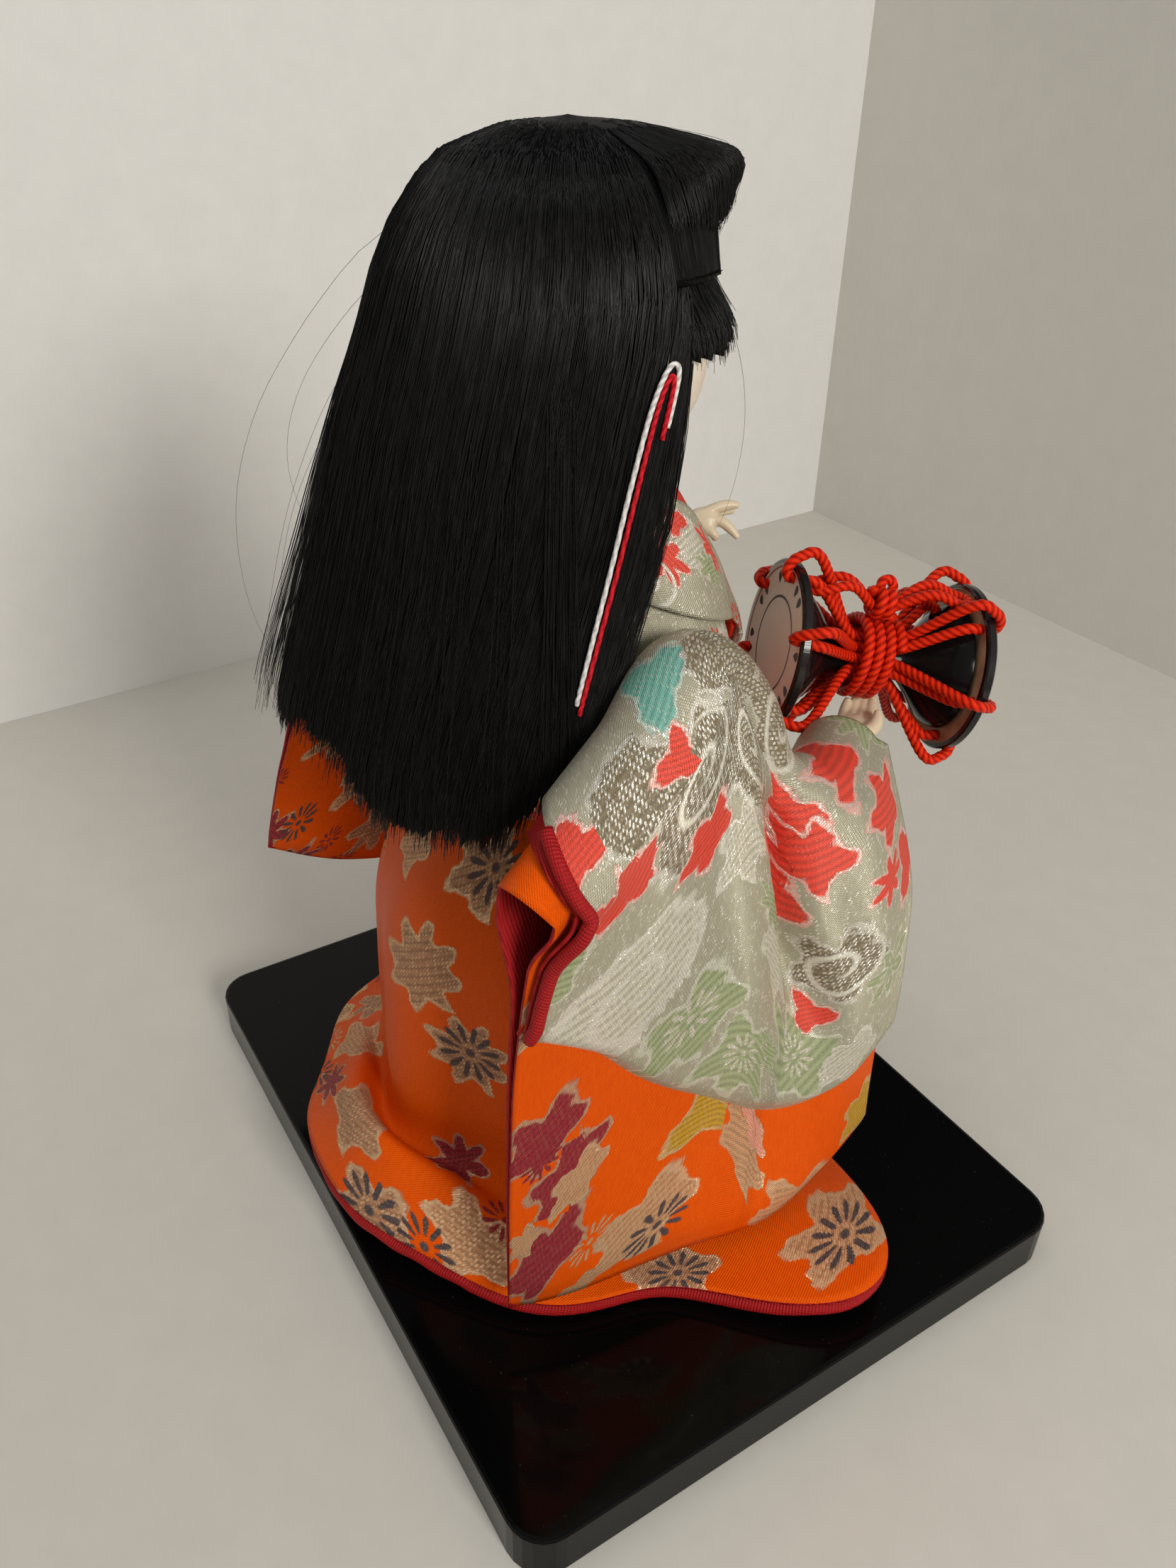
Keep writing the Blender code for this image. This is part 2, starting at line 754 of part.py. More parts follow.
def skirt():
    grid = [[skirt_point(angle, j / 10) for j in range(11)] for angle in ring_angles(28)]
    shell("skirt", grid, inset_grid(grid, cloth_wall), "orange_brocade", closed=True)
    hem = []
    for angle in ring_angles(36):
        lip = skirt_point(angle, 1.0)
        inward = (Vector((doll_x, doll_y, lip.z)) - lip).normalized()
        hem.append(lip + inward * hem_roll_radius - Vector((0, 0, hem_roll_radius + cloth_wall + rest_gap)))
    tube("hem_roll", hem, hem_roll_radius, "crimson_lining", 1, closed=True)


# Sleeves. The middle surface between a sleeve's two faces, from the rear opening to the cuff along each
# row, and from the fold over the arm down to the orange sleeve's lower edge. Shares of sleeve_reach.
right_sleeve_shares = (
    (
        (-0.90, 0.66, -0.44),
        (-0.80, 0.24, -0.16),
        (-0.69, -0.04, -0.02),
        (-0.82, -0.28, 0.69 * held_share),
        (-0.79, -0.48, 0.88 * held_share),
        (-0.62, -0.74, 0.91 * held_share),
    ),
    (
        (-0.88, 0.70, -0.88),
        (-0.86, 0.30, -0.76),
        (-0.88, -0.04, -0.72),
        (-0.90, -0.28, -0.88),
        (-0.92, -0.50, -0.92),
        (-0.88, -0.72, -0.92),
    ),
    (
        (-0.90, 0.74, -1.52),
        (-0.92, 0.38, -1.48),
        (-0.95, 0.00, -1.48),
        (-0.98, -0.26, -1.52),
        (-1.00, -0.48, -1.52),
        (-0.98, -0.70, -1.42),
    ),
    (
        (-0.92, 0.76, -2.12),
        (-0.99, 0.52, -2.11),
        (-1.04, 0.14, -2.11),
        (-1.09, -0.20, -2.11),
        (-1.06, -0.48, -2.08),
        (-1.03, -0.68, -1.97),
    ),
)
left_sleeve_shares = (
    (
        (0.92, 0.60, -0.56),
        (0.80, 0.22, -0.24),
        (0.70, -0.04, -0.04),
        (0.83, -0.30, -0.25),
        (0.74, -0.46, -0.21),
        (0.57, -0.61, -0.13),
    ),
    (
        (0.96, 0.68, -0.80),
        (0.92, 0.30, -0.72),
        (0.88, -0.04, -0.68),
        (0.92, -0.28, -0.72),
        (0.88, -0.48, -0.72),
        (0.78, -0.64, -0.64),
    ),
    (
        (1.00, 0.76, -1.08),
        (0.96, 0.42, -1.12),
        (0.94, 0.04, -1.16),
        (0.96, -0.26, -1.16),
        (0.92, -0.46, -1.12),
        (0.84, -0.64, -1.00),
    ),
    (
        (1.04, 0.82, -1.38),
        (1.00, 0.52, -1.52),
        (0.98, 0.14, -1.60),
        (0.98, -0.20, -1.60),
        (0.94, -0.44, -1.56),
        (0.88, -0.62, -1.40),
    ),
)
# How far down that surface the green sleeve hangs, from its rear edge to its cuff
outer_drop_shares = (0.31, 0.55, 0.69, 0.74, 0.74, 0.71)
# Shares of the way from rear to cuff; the lining starts at the second and the green sleeve at the third
sleeve_stations = (0.0, 0.06, 0.08, 0.25, 0.41, 0.51, 0.60, 0.70, 0.84, 1.0)
rear_slant = 0.04
sleeve_levels = (0.25, 0.5, 0.75, 1.0)


def share_at(values, place):
    return spline([Vector((value, 0, 0)) for value in values], place).x


def sleeve_middle(shares, along, down):
    """A point of the middle surface, as shares of the way to the cuff and down to the lower edge."""
    return spline([spline([from_shoulders(p) for p in row], along) for row in shares], down)


def sleeve_axes(side, shares, along, level):
    """Directions at a point of the middle surface: outwards, and along the sleeve to the cuff."""
    rear, front = max(along - 0.05, 0.0), min(along + 0.05, 1.0)
    above, below = max(level - 0.05, 0.0), min(level + 0.05, 1.0)
    ahead = sleeve_middle(shares, front, level) - sleeve_middle(shares, rear, level)
    down = sleeve_middle(shares, along, below) - sleeve_middle(shares, along, above)
    return ahead.cross(down).normalized() * side, ahead.normalized()


def sleeve_grid(side, shares, layer, out):
    """An upside-down U of cloth over the arm, its stations and levels shared so that layers nest."""
    roof = 2
    reach = sleeve_top_half + layer * sleeve_step + out
    foot = sleeve_bottom_half + layer * sleeve_step + out
    grid = []
    for i, along in enumerate(sleeve_stations[layer:]):
        slant = -rear_slant if layer and i == 0 else 0.0
        drop = share_at(outer_drop_shares, along)
        rows = [drop * level for level in sleeve_levels]
        if layer == 0:
            rows.append(1.0)
        away, ahead = sleeve_axes(side, shares, along, 0.0)
        up = away.cross(ahead) * -side
        line = []
        for w in range(-len(rows) - roof, len(rows) + roof + 1):
            if abs(w) <= roof:
                turn = math.pi / 2.0 * w / roof
                arch = away * math.sin(turn) + up * math.cos(turn)
                line.append(sleeve_middle(shares, along, 0.0) + arch * reach)
                continue
            level = rows[abs(w) - roof - 1]
            half = mix(reach, foot, ease((level - 0.15) * 1.6))
            depth = math.sin(math.pi * clamp01((level - 0.12) * 2.0))
            fold = sleeve_fold_depth * depth * math.exp(-(((along - 0.58) / 0.11) ** 2))
            place = along + slant * level / drop if level < drop else along
            away = sleeve_axes(side, shares, place, level)[0]
            line.append(sleeve_middle(shares, place, level) + away * (math.copysign(half, w) - fold))
        grid.append(line)
    return grid


def sleeves():
    layers = (
        ("_inner_sleeve", "orange_brocade"),
        ("_sleeve_lining", "crimson_lining"),
        ("_outer_sleeve", "green_brocade"),
    )
    for side, label, shares in ((-1, "right", right_sleeve_shares), (1, "left", left_sleeve_shares)):
        for layer, (kind, material) in enumerate(layers):
            faces = [sleeve_grid(side, shares, layer, out) for out in (0.0, -cloth_wall)]
            cut_armholes(shell(label + kind, *faces, material), (label,), "MANIFOLD")


# Head. Height share of the head, width share, depth share, forward share of the half depth
face_level_shares = (
    (0.03, 0.40, 0.52, 0.20),
    (0.10, 0.56, 0.72, 0.19),
    (0.22, 0.78, 0.88, 0.12),
    (0.36, 0.93, 0.97, 0.05),
    (0.52, 1.00, 1.00, 0.00),
    (0.68, 0.94, 0.95, 0.00),
    (0.82, 0.78, 0.79, 0.00),
    (0.93, 0.51, 0.52, 0.00),
    (1.00, 0.15, 0.16, 0.00),
)


def head_center():
    return on_axis(head_center_height) - Vector((0, head_forward, 0))


def ball(name, radius, material, turn):
    work = bmesh.new()
    bmesh.ops.create_uvsphere(work, u_segments=12, v_segments=6, radius=radius)
    return placed(from_bmesh(name, work, material), turn)


def head_and_neck():
    center = head_center()
    base = center.z - head_half_height
    rows = [(base - neck_length * 0.85, neck_radius * 1.08, neck_radius * 1.08, head_forward)]
    rows.append((base - neck_length * 0.25, neck_radius, neck_radius, head_forward * 0.6))
    for up, wide, deep, ahead in face_level_shares:
        height = base + up * 2.0 * head_half_height
        rows.append((height, wide * head_half_width, deep * head_half_depth, -ahead * head_half_depth))
    rings = []
    for height, wide, deep, back in rows:
        middle = Vector((center.x, center.y + back, height))
        rings.append([middle + Vector((wide * math.cos(a), deep * math.sin(a), 0)) for a in ring_angles(18)])
    head = lofted("head", rings, "skin")
    nose_shares = ((-0.93, 0.0), (-1.02, -1.6), (-0.95, -2.6))
    nose = [center + Vector((0, head_half_depth * y, nose_size * z)) for y, z in nose_shares]
    joined_by(head, solid_tube("nose_lump", nose, nose_size * 0.55, "skin", 1), "UNION")
    ear_shares = ((0.96, 0.05, 0.9), (1.03, 0.10, 0.0), (0.94, 0.05, -1.1))
    for side, label in ((-1, "right"), (1, "left")):
        ear = []
        for x, y, z in ear_shares:
            ear.append(center + Vector((side * head_half_width * x, head_half_depth * y, ear_size * z)))
        joined_by(head, solid_tube(label + "_ear_lump", ear, ear_size * 0.25, "skin", 1), "UNION")
        depth = head_half_depth * math.sqrt(1.0 - (eye_spacing / head_half_width) ** 2)
        at = center + Vector((side * eye_spacing, -depth, -eye_height_drop))
        turn = Matrix.Translation(at) @ Matrix.Rotation(math.radians(side * 20.0), 4, "Z")
        turn = turn @ Matrix.Diagonal((1.0, 0.62, 0.42, 1.0))
        cut(head, ball(label + "_eye_cutter", eye_radius + fit_gap, "eye", turn))
        ball(label + "_eye", eye_radius, "eye", turn)
    bore_top = head_base_height() + neck_peg_in_head + fit_gap
    bore = [on_axis(head_base_height() - neck_length), on_axis(bore_top)]
    cut(head, solid_tube("head_bore_cutter", bore, neck_peg_radius + fit_gap, "skin"))
    low = head_base_height() - neck_peg_length + neck_peg_in_head
    peg = (
        (0.0, low),
        (neck_peg_radius * 0.8, low),
        (neck_peg_radius, low + neck_peg_radius),
        (neck_peg_radius, low + neck_peg_length - fit_gap),
        (0.0, low + neck_peg_length - fit_gap),
    )
    placed(turned("neck_peg", peg, 12, "wood"), Matrix.Translation(on_axis(0.0)))


# Hair. Share of hair_drop down from the crown; reach to the back, side and front as shares of hair_reach
hair_profile_shares = (
    (0.000, 0.00, 0.00, 0.00),
    (0.012, 0.18, 0.16, 0.22),
    (0.045, 0.35, 0.31, 0.48),
    (0.110, 0.46, 0.42, 0.47),
    (0.187, 0.54, 0.48, 0.43),
    (0.276, 0.60, 0.52, 0.43),
    (0.393, 0.68, 0.54, 0.44),
    (0.518, 0.75, 0.56, 0.44),
    (0.650, 0.82, 0.58, 0.44),
    (0.786, 0.90, 0.63, 0.44),
    (0.900, 0.96, 0.69, 0.44),
    (1.000, 0.98, 0.73, 0.44),
)
# Share of hair_drop down; the angle of the hanging hair's right edge beyond straight right, in degrees
hair_edge_degrees = (
    (0.19, 184.0),
    (0.39, 174.0),
    (0.53, 167.0),
    (0.66, 160.0),
    (0.80, 153.0),
    (1.00, 147.0),
)
# Direction round the head in degrees; share of hair_drop where the hanging hair ends
hair_end_shares = (
    (27.0, 0.930),
    (60.0, 0.915),
    (80.0, 0.905),
    (98.0, 0.885),
    (106.0, 0.930),
    (114.0, 0.990),
    (136.0, 1.000),
    (142.0, 0.955),
    (148.0, 0.900),
)


def hair_point(angle, drop, out=0.0):
    """A point of the hair's outer surface, that far below the crown, moved out by that much."""
    to_back, to_side, to_front = table_at(hair_profile_shares, drop / hair_drop)
    back = max(math.sin(angle), 0.0) ** 2
    front = max(-math.sin(angle), 0.0) ** 2
    reach = back * to_back + front * to_front + (1.0 - back - front) * to_side
    away = Vector((math.cos(angle), math.sin(angle), 0))
    return on_axis(hair_top_height - drop) + away * (reach * hair_reach + out)


def on_skull(point):
    """The point moved straight towards the middle of the head until it is skull_gap above the skin."""
    center = head_center()
    away = point - center
    halves = (head_half_width, head_half_depth, head_half_height)
    size = math.sqrt(sum((part / (half + skull_gap)) ** 2 for part, half in zip(away, halves)))
    return center + away / size


def hair_shell(name, angles, spans, levels, closed=False):
    """Hair between its outer surface and the skull. Spans holds the drop at top and bottom for each angle."""
    outer = []
    for angle, (top, low) in zip(angles, spans):
        outer.append([hair_point(angle, mix(top, low, (j / (levels - 1)) ** 1.4)) for j in range(levels)])
    inner = [[on_skull(point) for point in row] for row in outer]
    shell(name, outer, inner, "hair", closed)


def hair():
    crown_angles = ring_angles(30)
    spans = []
    for angle in crown_angles:
        spans.append((0.0, fringe_start_drop if from_front(angle) < 55.0 else crown_drop))
    hair_shell("hair_crown", crown_angles, spans, 7, closed=True)

    across = [math.radians(mix(217.5, 322.5, i / 9)) for i in range(10)]
    top = fringe_start_drop + rest_gap
    hair_shell("bangs", across, [(top, fringe_end_drop)] * 10, 3)
    for label, start, end in (("right", 189.0, 213.0), ("left", 327.0, 351.0)):
        across = [math.radians(mix(start, end, i / 3)) for i in range(4)]
        hair_shell(label + "_side_lock", across, [(crown_drop + 2.0 * rest_gap, lock_end_drop)] * 4, 3)

    across, down = 15, 9
    outer, inner = [], []
    for i in range(across):
        far, near = [], []
        foot = edge_degrees(hair_drop)
        end = table_at([(*row, 0.0) for row in hair_end_shares], mix(180.0 - foot, foot, i / (across - 1)))[0]
        for j in range(down):
            drop = mix(crown_drop + 2.0 * rest_gap, end * hair_drop, j / (down - 1))
            edge = edge_degrees(drop)
            angle = math.radians(mix(180.0 - edge, edge, i / (across - 1)))
            far.append(hair_point(angle, drop))
            middle = Vector((*head_center().xy, min(head_center().z, far[-1].z)))
            near.append(far[-1] + (middle - far[-1]).normalized() * hair_wall)
            skull = on_skull(far[-1])
            if (skull - far[-1]).length < hair_wall:
                near[-1] = skull
        outer.append(far)
        inner.append(near)
    shell("hair_fall", outer, inner, "hair")


def edge_degrees(drop):
    """The angle of the hanging hair's right edge at that drop, in degrees."""
    rows = [(share, degrees, 0.0) for share, degrees in hair_edge_degrees]
    return table_at(rows, drop / hair_drop)[0]


# Share of hair_drop down; share of the way forward over the hair's edge
cord_route_shares = (
    (0.82, 0.0),
    (0.70, 0.0),
    (0.58, 0.0),
    (0.46, 0.0),
    (0.36, 0.15),
    (0.325, 0.55),
    (0.34, 1.0),
    (0.42, 1.1),
)


def hair_cords():
    """A red and a white paper cord on each side: a narrow loop by the cheek and a long tail over the hair."""
    for side, label in ((-1, "right"), (1, "left")):
        for index, colour in enumerate(("red", "white")):
            route = []
            for drop_share, ahead in cord_route_shares:
                drop = (drop_share - 0.016 * index * clamp01(ahead * 4.0)) * hair_drop
                degrees = edge_degrees(drop) + mix(-3.0, 8.0, ahead) + index * mix(-3.2, 3.6, ahead)
                angle = math.radians(degrees if side < 0 else 180.0 - degrees)
                route.append(hair_point(angle, drop, hair_cord_radius + 2.0 * fit_gap))
            smooth = [spline(route, i / 11) for i in range(12)]
            tube(f"{label}_hair_cord_{colour}", smooth, hair_cord_radius, colour + "_cord", 1)


# Drum


def drum_frame():
    """Local +Z runs from the head near the chest to the far head."""
    turn = math.radians(drum_turn_deg)
    dip = math.radians(drum_dip_deg)
    ahead = Vector((math.cos(turn) * math.cos(dip), math.sin(turn) * math.cos(dip), -math.sin(dip)))
    side = Vector((0, 0, 1)).cross(ahead).normalized()
    frame = Matrix((side, ahead.cross(side), ahead)).transposed().to_4x4()
    frame.translation = drum_center
    return frame


def drum():
    frame = drum_frame()
    half = drum_length / 2.0 - drum_head_thickness - rest_gap
    cup = half - drum_waist_half
    shape = [(mix(drum_cup_radius, drum_waist_radius, ease(i / 5)), -half + cup * i / 5) for i in range(6)]
    shape += [(radius, -height) for radius, height in shape[::-1]]
    bore = drum_waist_radius * 0.55
    lip = drum_cup_radius - drum_cup_wall
    middle = mix(bore, lip, 0.45)
    inside = [(lip, half), (middle, half * 0.72), (bore, drum_waist_half)]
    inside += [(radius, -height) for radius, height in inside[::-1]]
    placed(turned("drum_body", [inside[-1], *shape, *inside], 20, "drum_lacquer"), frame)
    start = half + rest_gap
    end = start + drum_head_thickness
    inset = drum_head_radius - drum_head_rim
    face = (
        (0.0, start + drum_head_thickness * 0.25),
        (inset, start + drum_head_thickness * 0.25),
        (inset, start),
        (drum_head_radius, start + drum_head_rim * 0.3),
        (drum_head_radius, end - drum_head_rim * 0.3),
        (inset, end),
        (inset - drum_head_rim * 0.3, end - drum_head_thickness * 0.2),
        (0.0, end - drum_head_thickness * 0.2),
    )
    for label, sign in (("near", -1), ("far", 1)):
        placed(turned(f"drum_head_{label}", [(r, sign * z) for r, z in face], 22, "drum_skin"), frame)


def polar(radius, angle, along):
    return Vector((radius * math.cos(angle), radius * math.sin(angle), along))


def drum_cords():
    """One cord zigzags between the heads over their rims, drawn in at the waist, and is lashed there."""
    frame = drum_frame()
    rim = drum_head_radius + 2.0 * fit_gap + cord_radius
    half = drum_length / 2.0 - cord_radius
    waist = drum_waist_radius + 2.0 * fit_gap + cord_radius
    held = lashing_turns * lashing_pitch / 2.0 + cord_radius
    route = []
    for leg in range(cord_legs):
        sign = -1.0 if leg % 2 else 1.0
        for share, radius, along in (
            (0.00, rim, half),
            (0.13, rim, half * 0.95),
            (0.22, rim, half * 0.82),
            (0.40, waist, held),
            (0.50, waist, 0.0),
            (0.60, waist, -held),
            (0.78, rim, -half * 0.82),
            (0.87, rim, -half * 0.95),
        ):
            route.append(polar(radius, math.tau * (leg + share) / cord_legs, along * sign))
    tube("drum_tension_cord", [frame @ p for p in route], cord_radius, "red_cord", 1, closed=True)

    radius = waist + 2.0 * cord_radius + fit_gap
    winding = []
    for i in range(lashing_turns * points_per_turn + 1):
        turn = i / points_per_turn
        winding.append(polar(radius, math.tau * turn, (turn - lashing_turns / 2.0) * lashing_pitch))
    tube("drum_waist_lashing", [frame @ p for p in winding], cord_radius, "red_cord", 1)
    print(f"lashing gap to itself: {least_gap(winding, cord_radius) * 1000:.2f} mm")

    rise = radius + 2.0 * cord_radius + fit_gap + bow_cross
    bow = []
    for turn in ring_angles(2 * points_per_turn):
        along = bow_loop_length * math.sin(turn)
        height = rise + bow_rise * (1.0 - math.cos(turn * 2.0)) / 2.0 + bow_cross * math.cos(turn)
        bow.append(Vector((bow_width * math.sin(2.0 * turn), height, along)))
    tube("drum_bow", [frame @ p for p in bow], cord_radius, "red_cord", 1, closed=True)
    print(f"bow gap to itself: {least_gap(bow, cord_radius, closed=True) * 1000:.2f} mm")


def least_gap(points, radius, closed=False):
    """The least distance between the tube's surfaces at points more than a third of a turn apart."""
    apart = points_per_turn // 3
    least = math.inf
    count = len(points)
    for i, a in enumerate(points):
        for j in range(i + apart, count):
            if closed and count - j + i < apart:
                continue
            least = min(least, (a - points[j]).length)
    return least - 2.0 * radius


def pivot(names, point):
    """Puts the pieces' origins on their joint's axis without moving their shapes."""
    for name in names:
        item = bpy.data.objects[name]
        item.data.transform(Matrix.Translation(-point))
        item.location = point


HEAD_PIECES = (
    "head",
    "right_eye",
    "left_eye",
    "hair_crown",
    "bangs",
    "right_side_lock",
    "left_side_lock",
    "hair_fall",
    "right_hair_cord_red",
    "right_hair_cord_white",
    "left_hair_cord_red",
    "left_hair_cord_white",
)


def build():
    clear_scene()
    rounded_board()
    dowel_and_screw()
    arms()
    cores()
    hand("right_hand", right_arm_shares, 12.0, 1.0)
    hand("left_hand", left_arm_shares, 22.0, -1.0)
    kimono_body()
    collars()
    skirt()
    sleeves()
    head_and_neck()
    hair()
    hair_cords()
    drum()
    drum_cords()
    pivot(HEAD_PIECES, on_axis(head_base_height()))
    pivot(["left_hand"], arm_line(left_arm_shares, 0.0, 1.0, 2)[1])


build()
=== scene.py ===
"""Looks of the hina doll: combed silk hair, layered brocade robes, a corded hourglass drum and a lacquered board."""

import math
import random

import bmesh
import bpy
import numpy as np
from mathutils import Matrix, Vector


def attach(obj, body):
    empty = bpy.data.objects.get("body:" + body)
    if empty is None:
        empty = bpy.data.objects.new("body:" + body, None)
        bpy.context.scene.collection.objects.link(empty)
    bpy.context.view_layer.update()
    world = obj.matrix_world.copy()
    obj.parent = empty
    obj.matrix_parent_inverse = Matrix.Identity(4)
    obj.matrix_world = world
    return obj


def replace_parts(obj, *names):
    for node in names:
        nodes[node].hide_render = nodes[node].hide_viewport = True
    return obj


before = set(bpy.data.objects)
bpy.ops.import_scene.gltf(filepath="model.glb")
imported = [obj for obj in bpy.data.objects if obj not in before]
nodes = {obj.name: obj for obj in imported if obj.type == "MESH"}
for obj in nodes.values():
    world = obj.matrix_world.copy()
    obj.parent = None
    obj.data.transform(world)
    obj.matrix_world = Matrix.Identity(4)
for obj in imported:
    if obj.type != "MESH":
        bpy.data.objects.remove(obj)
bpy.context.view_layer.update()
bpy.ops.object.select_all(action="DESELECT")
dice = random.Random(7)
noise = np.random.default_rng(11)

MM = 0.001
BOARD_TOP = 0.010
AXIS = np.array((0.004, 0.007))
WAIST, SHOULDER, COLLAR = 0.087, 0.116, 0.131
CLOTH = 0.0008
REST_GAP = 0.0003
FIT_GAP = 0.0004
LAYER = 0.0013

# Camera, in the place and at the angle of the photograph

camera = bpy.data.objects.new("camera", bpy.data.cameras.new("camera"))
bpy.context.scene.collection.objects.link(camera)
right = Vector((-0.52972, -0.84799, 0.01775))
back = Vector((-0.70799, 0.45360, 0.54130))
camera.matrix_world = Matrix((right, back.cross(right), back)).transposed().to_4x4()
camera.location = (-0.154873, 0.103304, 0.208158)
camera.data.sensor_fit = "VERTICAL"
camera.data.sensor_height = 36.0
camera.data.lens = 27.88
camera.data.clip_start = 0.01
bpy.context.scene.camera = camera
bpy.context.scene.view_settings.view_transform = "Standard"


# Shader building


class Tree:
    """Adds nodes to a node tree and joins them."""

    def __init__(self, tree):
        self.tree = tree

    def node(self, kind, inputs=None, **settings):
        made = self.tree.nodes.new("ShaderNode" + kind)
        for key, value in settings.items():
            setattr(made, key, value)
        for key, value in (inputs or {}).items():
            socket = made.inputs[key]
            if isinstance(value, bpy.types.NodeSocket):
                self.tree.links.new(value, socket)
            elif socket.type == "RGBA" and len(value) == 3:
                socket.default_value = (*value, 1.0)
            else:
                socket.default_value = value
        return made

    def math(self, operation, a, b=0.0, clamp=False):
        return self.node("Math", {0: a, 1: b}, operation=operation, use_clamp=clamp).outputs[0]

    def vector(self, operation, a, b=(0, 0, 0)):
        made = self.node("VectorMath", {0: a, 1: b}, operation=operation)
        return made.outputs["Value" if operation in ("LENGTH", "DOT_PRODUCT") else "Vector"]

    def mix(self, share, a, b):
        return self.node("MixRGB", {"Fac": share, "Color1": a, "Color2": b}).outputs[0]

    def noise(self, place, scale, detail=2.0, rough=0.5):
        inputs = {"Vector": place, "Scale": scale, "Detail": detail, "Roughness": rough}
        return self.node("TexNoise", inputs).outputs["Fac"]

    def step(self, value, edge, sharp):
        """0 below the edge and 1 above it."""
        return self.math("MULTIPLY", self.math("SUBTRACT", value, edge), sharp, clamp=True)


def group(name, inputs, outputs):
    tree = bpy.data.node_groups.new(name, "ShaderNodeTree")
    for label, kind in inputs:
        tree.interface.new_socket(label, in_out="INPUT", socket_type="NodeSocket" + kind)
    for label, kind in outputs:
        tree.interface.new_socket(label, in_out="OUTPUT", socket_type="NodeSocket" + kind)
    made = Tree(tree)
    return made, tree.nodes.new("NodeGroupInput").outputs, tree.nodes.new("NodeGroupOutput").inputs


def placed_group(tree, name, inputs):
    made = tree.node("Group", node_tree=bpy.data.node_groups[name])
    for key, value in inputs.items():
        if isinstance(value, bpy.types.NodeSocket):
            tree.tree.links.new(value, made.inputs[key])
        else:
            made.inputs[key].default_value = value
    return made.outputs


def material(name, colour, roughness, **sockets):
    """A Principled material with its plain values set, and its tree for the rest."""
    made = bpy.data.materials.new(name)
    made.use_nodes = True
    shader = made.node_tree.nodes["Principled BSDF"]
    shader.inputs["Base Color"].default_value = (*colour, 1.0)
    shader.inputs["Roughness"].default_value = roughness
    for key, value in sockets.items():
        socket = shader.inputs[key.replace("_", " ")]
        socket.default_value = (*value, 1.0) if socket.type == "RGBA" else value
    return made, Tree(made.node_tree), shader


def feed(tree, shader, **sockets):
    for key, value in sockets.items():
        tree.tree.links.new(value, shader.inputs[key.replace("_", " ")])


def bumped(tree, shader, height, distance, strength=1.0):
    made = tree.node("Bump", {"Height": height, "Distance": distance, "Strength": strength})
    tree.tree.links.new(made.outputs["Normal"], shader.inputs["Normal"])


# Place in the cloth in millimetres to thread height and shade. The shade is painted: lighter on the thread crowns and
# darker where the threads dip, mixed with random flecks of tone
tree, given, out = group("woven_threads", [("Cloth", "Vector"), ("Pitch", "Float"), ("Slant", "Float")], [("Height", "Float"), ("Shade", "Float")])
sep = tree.node("SeparateXYZ", {0: given["Cloth"]}).outputs
frequency = tree.math("DIVIDE", math.tau, given["Pitch"])
wander = tree.math("MULTIPLY", tree.noise(given["Cloth"], 0.9, 1.0), 1.6)
across = tree.math("MULTIPLY", tree.math("ADD", sep["X"], tree.math("MULTIPLY", sep["Y"], given["Slant"])), frequency)
warp = tree.math("ADD", tree.math("MULTIPLY", tree.math("SINE", tree.math("ADD", across, wander)), 0.5), 0.5)
down = tree.math("MULTIPLY", tree.math("SUBTRACT", sep["Y"], tree.math("MULTIPLY", sep["X"], 0.15)), frequency)
weft = tree.math("ADD", tree.math("MULTIPLY", tree.math("SINE", tree.math("MULTIPLY", down, 1.35)), 0.5), 0.5)
crossed = tree.math("ADD", tree.math("MULTIPLY", warp, 0.65), tree.math("MULTIPLY", weft, 0.35))
tree.tree.links.new(crossed, out["Height"])
fleck = tree.noise(tree.vector("MULTIPLY", given["Cloth"], (2.4, 0.35, 1.0)), 1.0, 2.0, 0.7)
shade = tree.math("ADD", tree.math("MULTIPLY", crossed, 0.45), tree.math("MULTIPLY", fleck, 0.55))
tree.tree.links.new(shade, out["Shade"])

# Bright metal threads in slanting rows of short floats
tree, given, out = group("metal_threads", [("Cloth", "Vector"), ("Pitch", "Float"), ("Cover", "Float")], [("Mask", "Float")])
sep = tree.node("SeparateXYZ", {0: given["Cloth"]}).outputs
row = tree.math("DIVIDE", tree.math("ADD", sep["X"], tree.math("MULTIPLY", sep["Y"], 0.45)), given["Pitch"])
line = tree.step(0.36, tree.math("ABSOLUTE", tree.math("SUBTRACT", tree.math("FRACT", row), 0.5)), 7.0)
course = tree.math("MULTIPLY", tree.math("FLOOR", row), 0.37)
along = tree.math("ADD", tree.math("DIVIDE", sep["Y"], tree.math("MULTIPLY", given["Pitch"], 2.2)), course)
dash = tree.step(0.38, tree.math("ABSOLUTE", tree.math("SUBTRACT", tree.math("FRACT", along), 0.5)), 7.0)
broken = tree.noise(tree.vector("MULTIPLY", given["Cloth"], (0.9, 0.5, 1.0)), 1.0, 2.0, 0.8)
shown = tree.step(tree.math("ADD", broken, given["Cover"]), 0.72, 7.0)
tree.tree.links.new(tree.math("MULTIPLY", tree.math("MULTIPLY", line, dash), shown), out["Mask"])

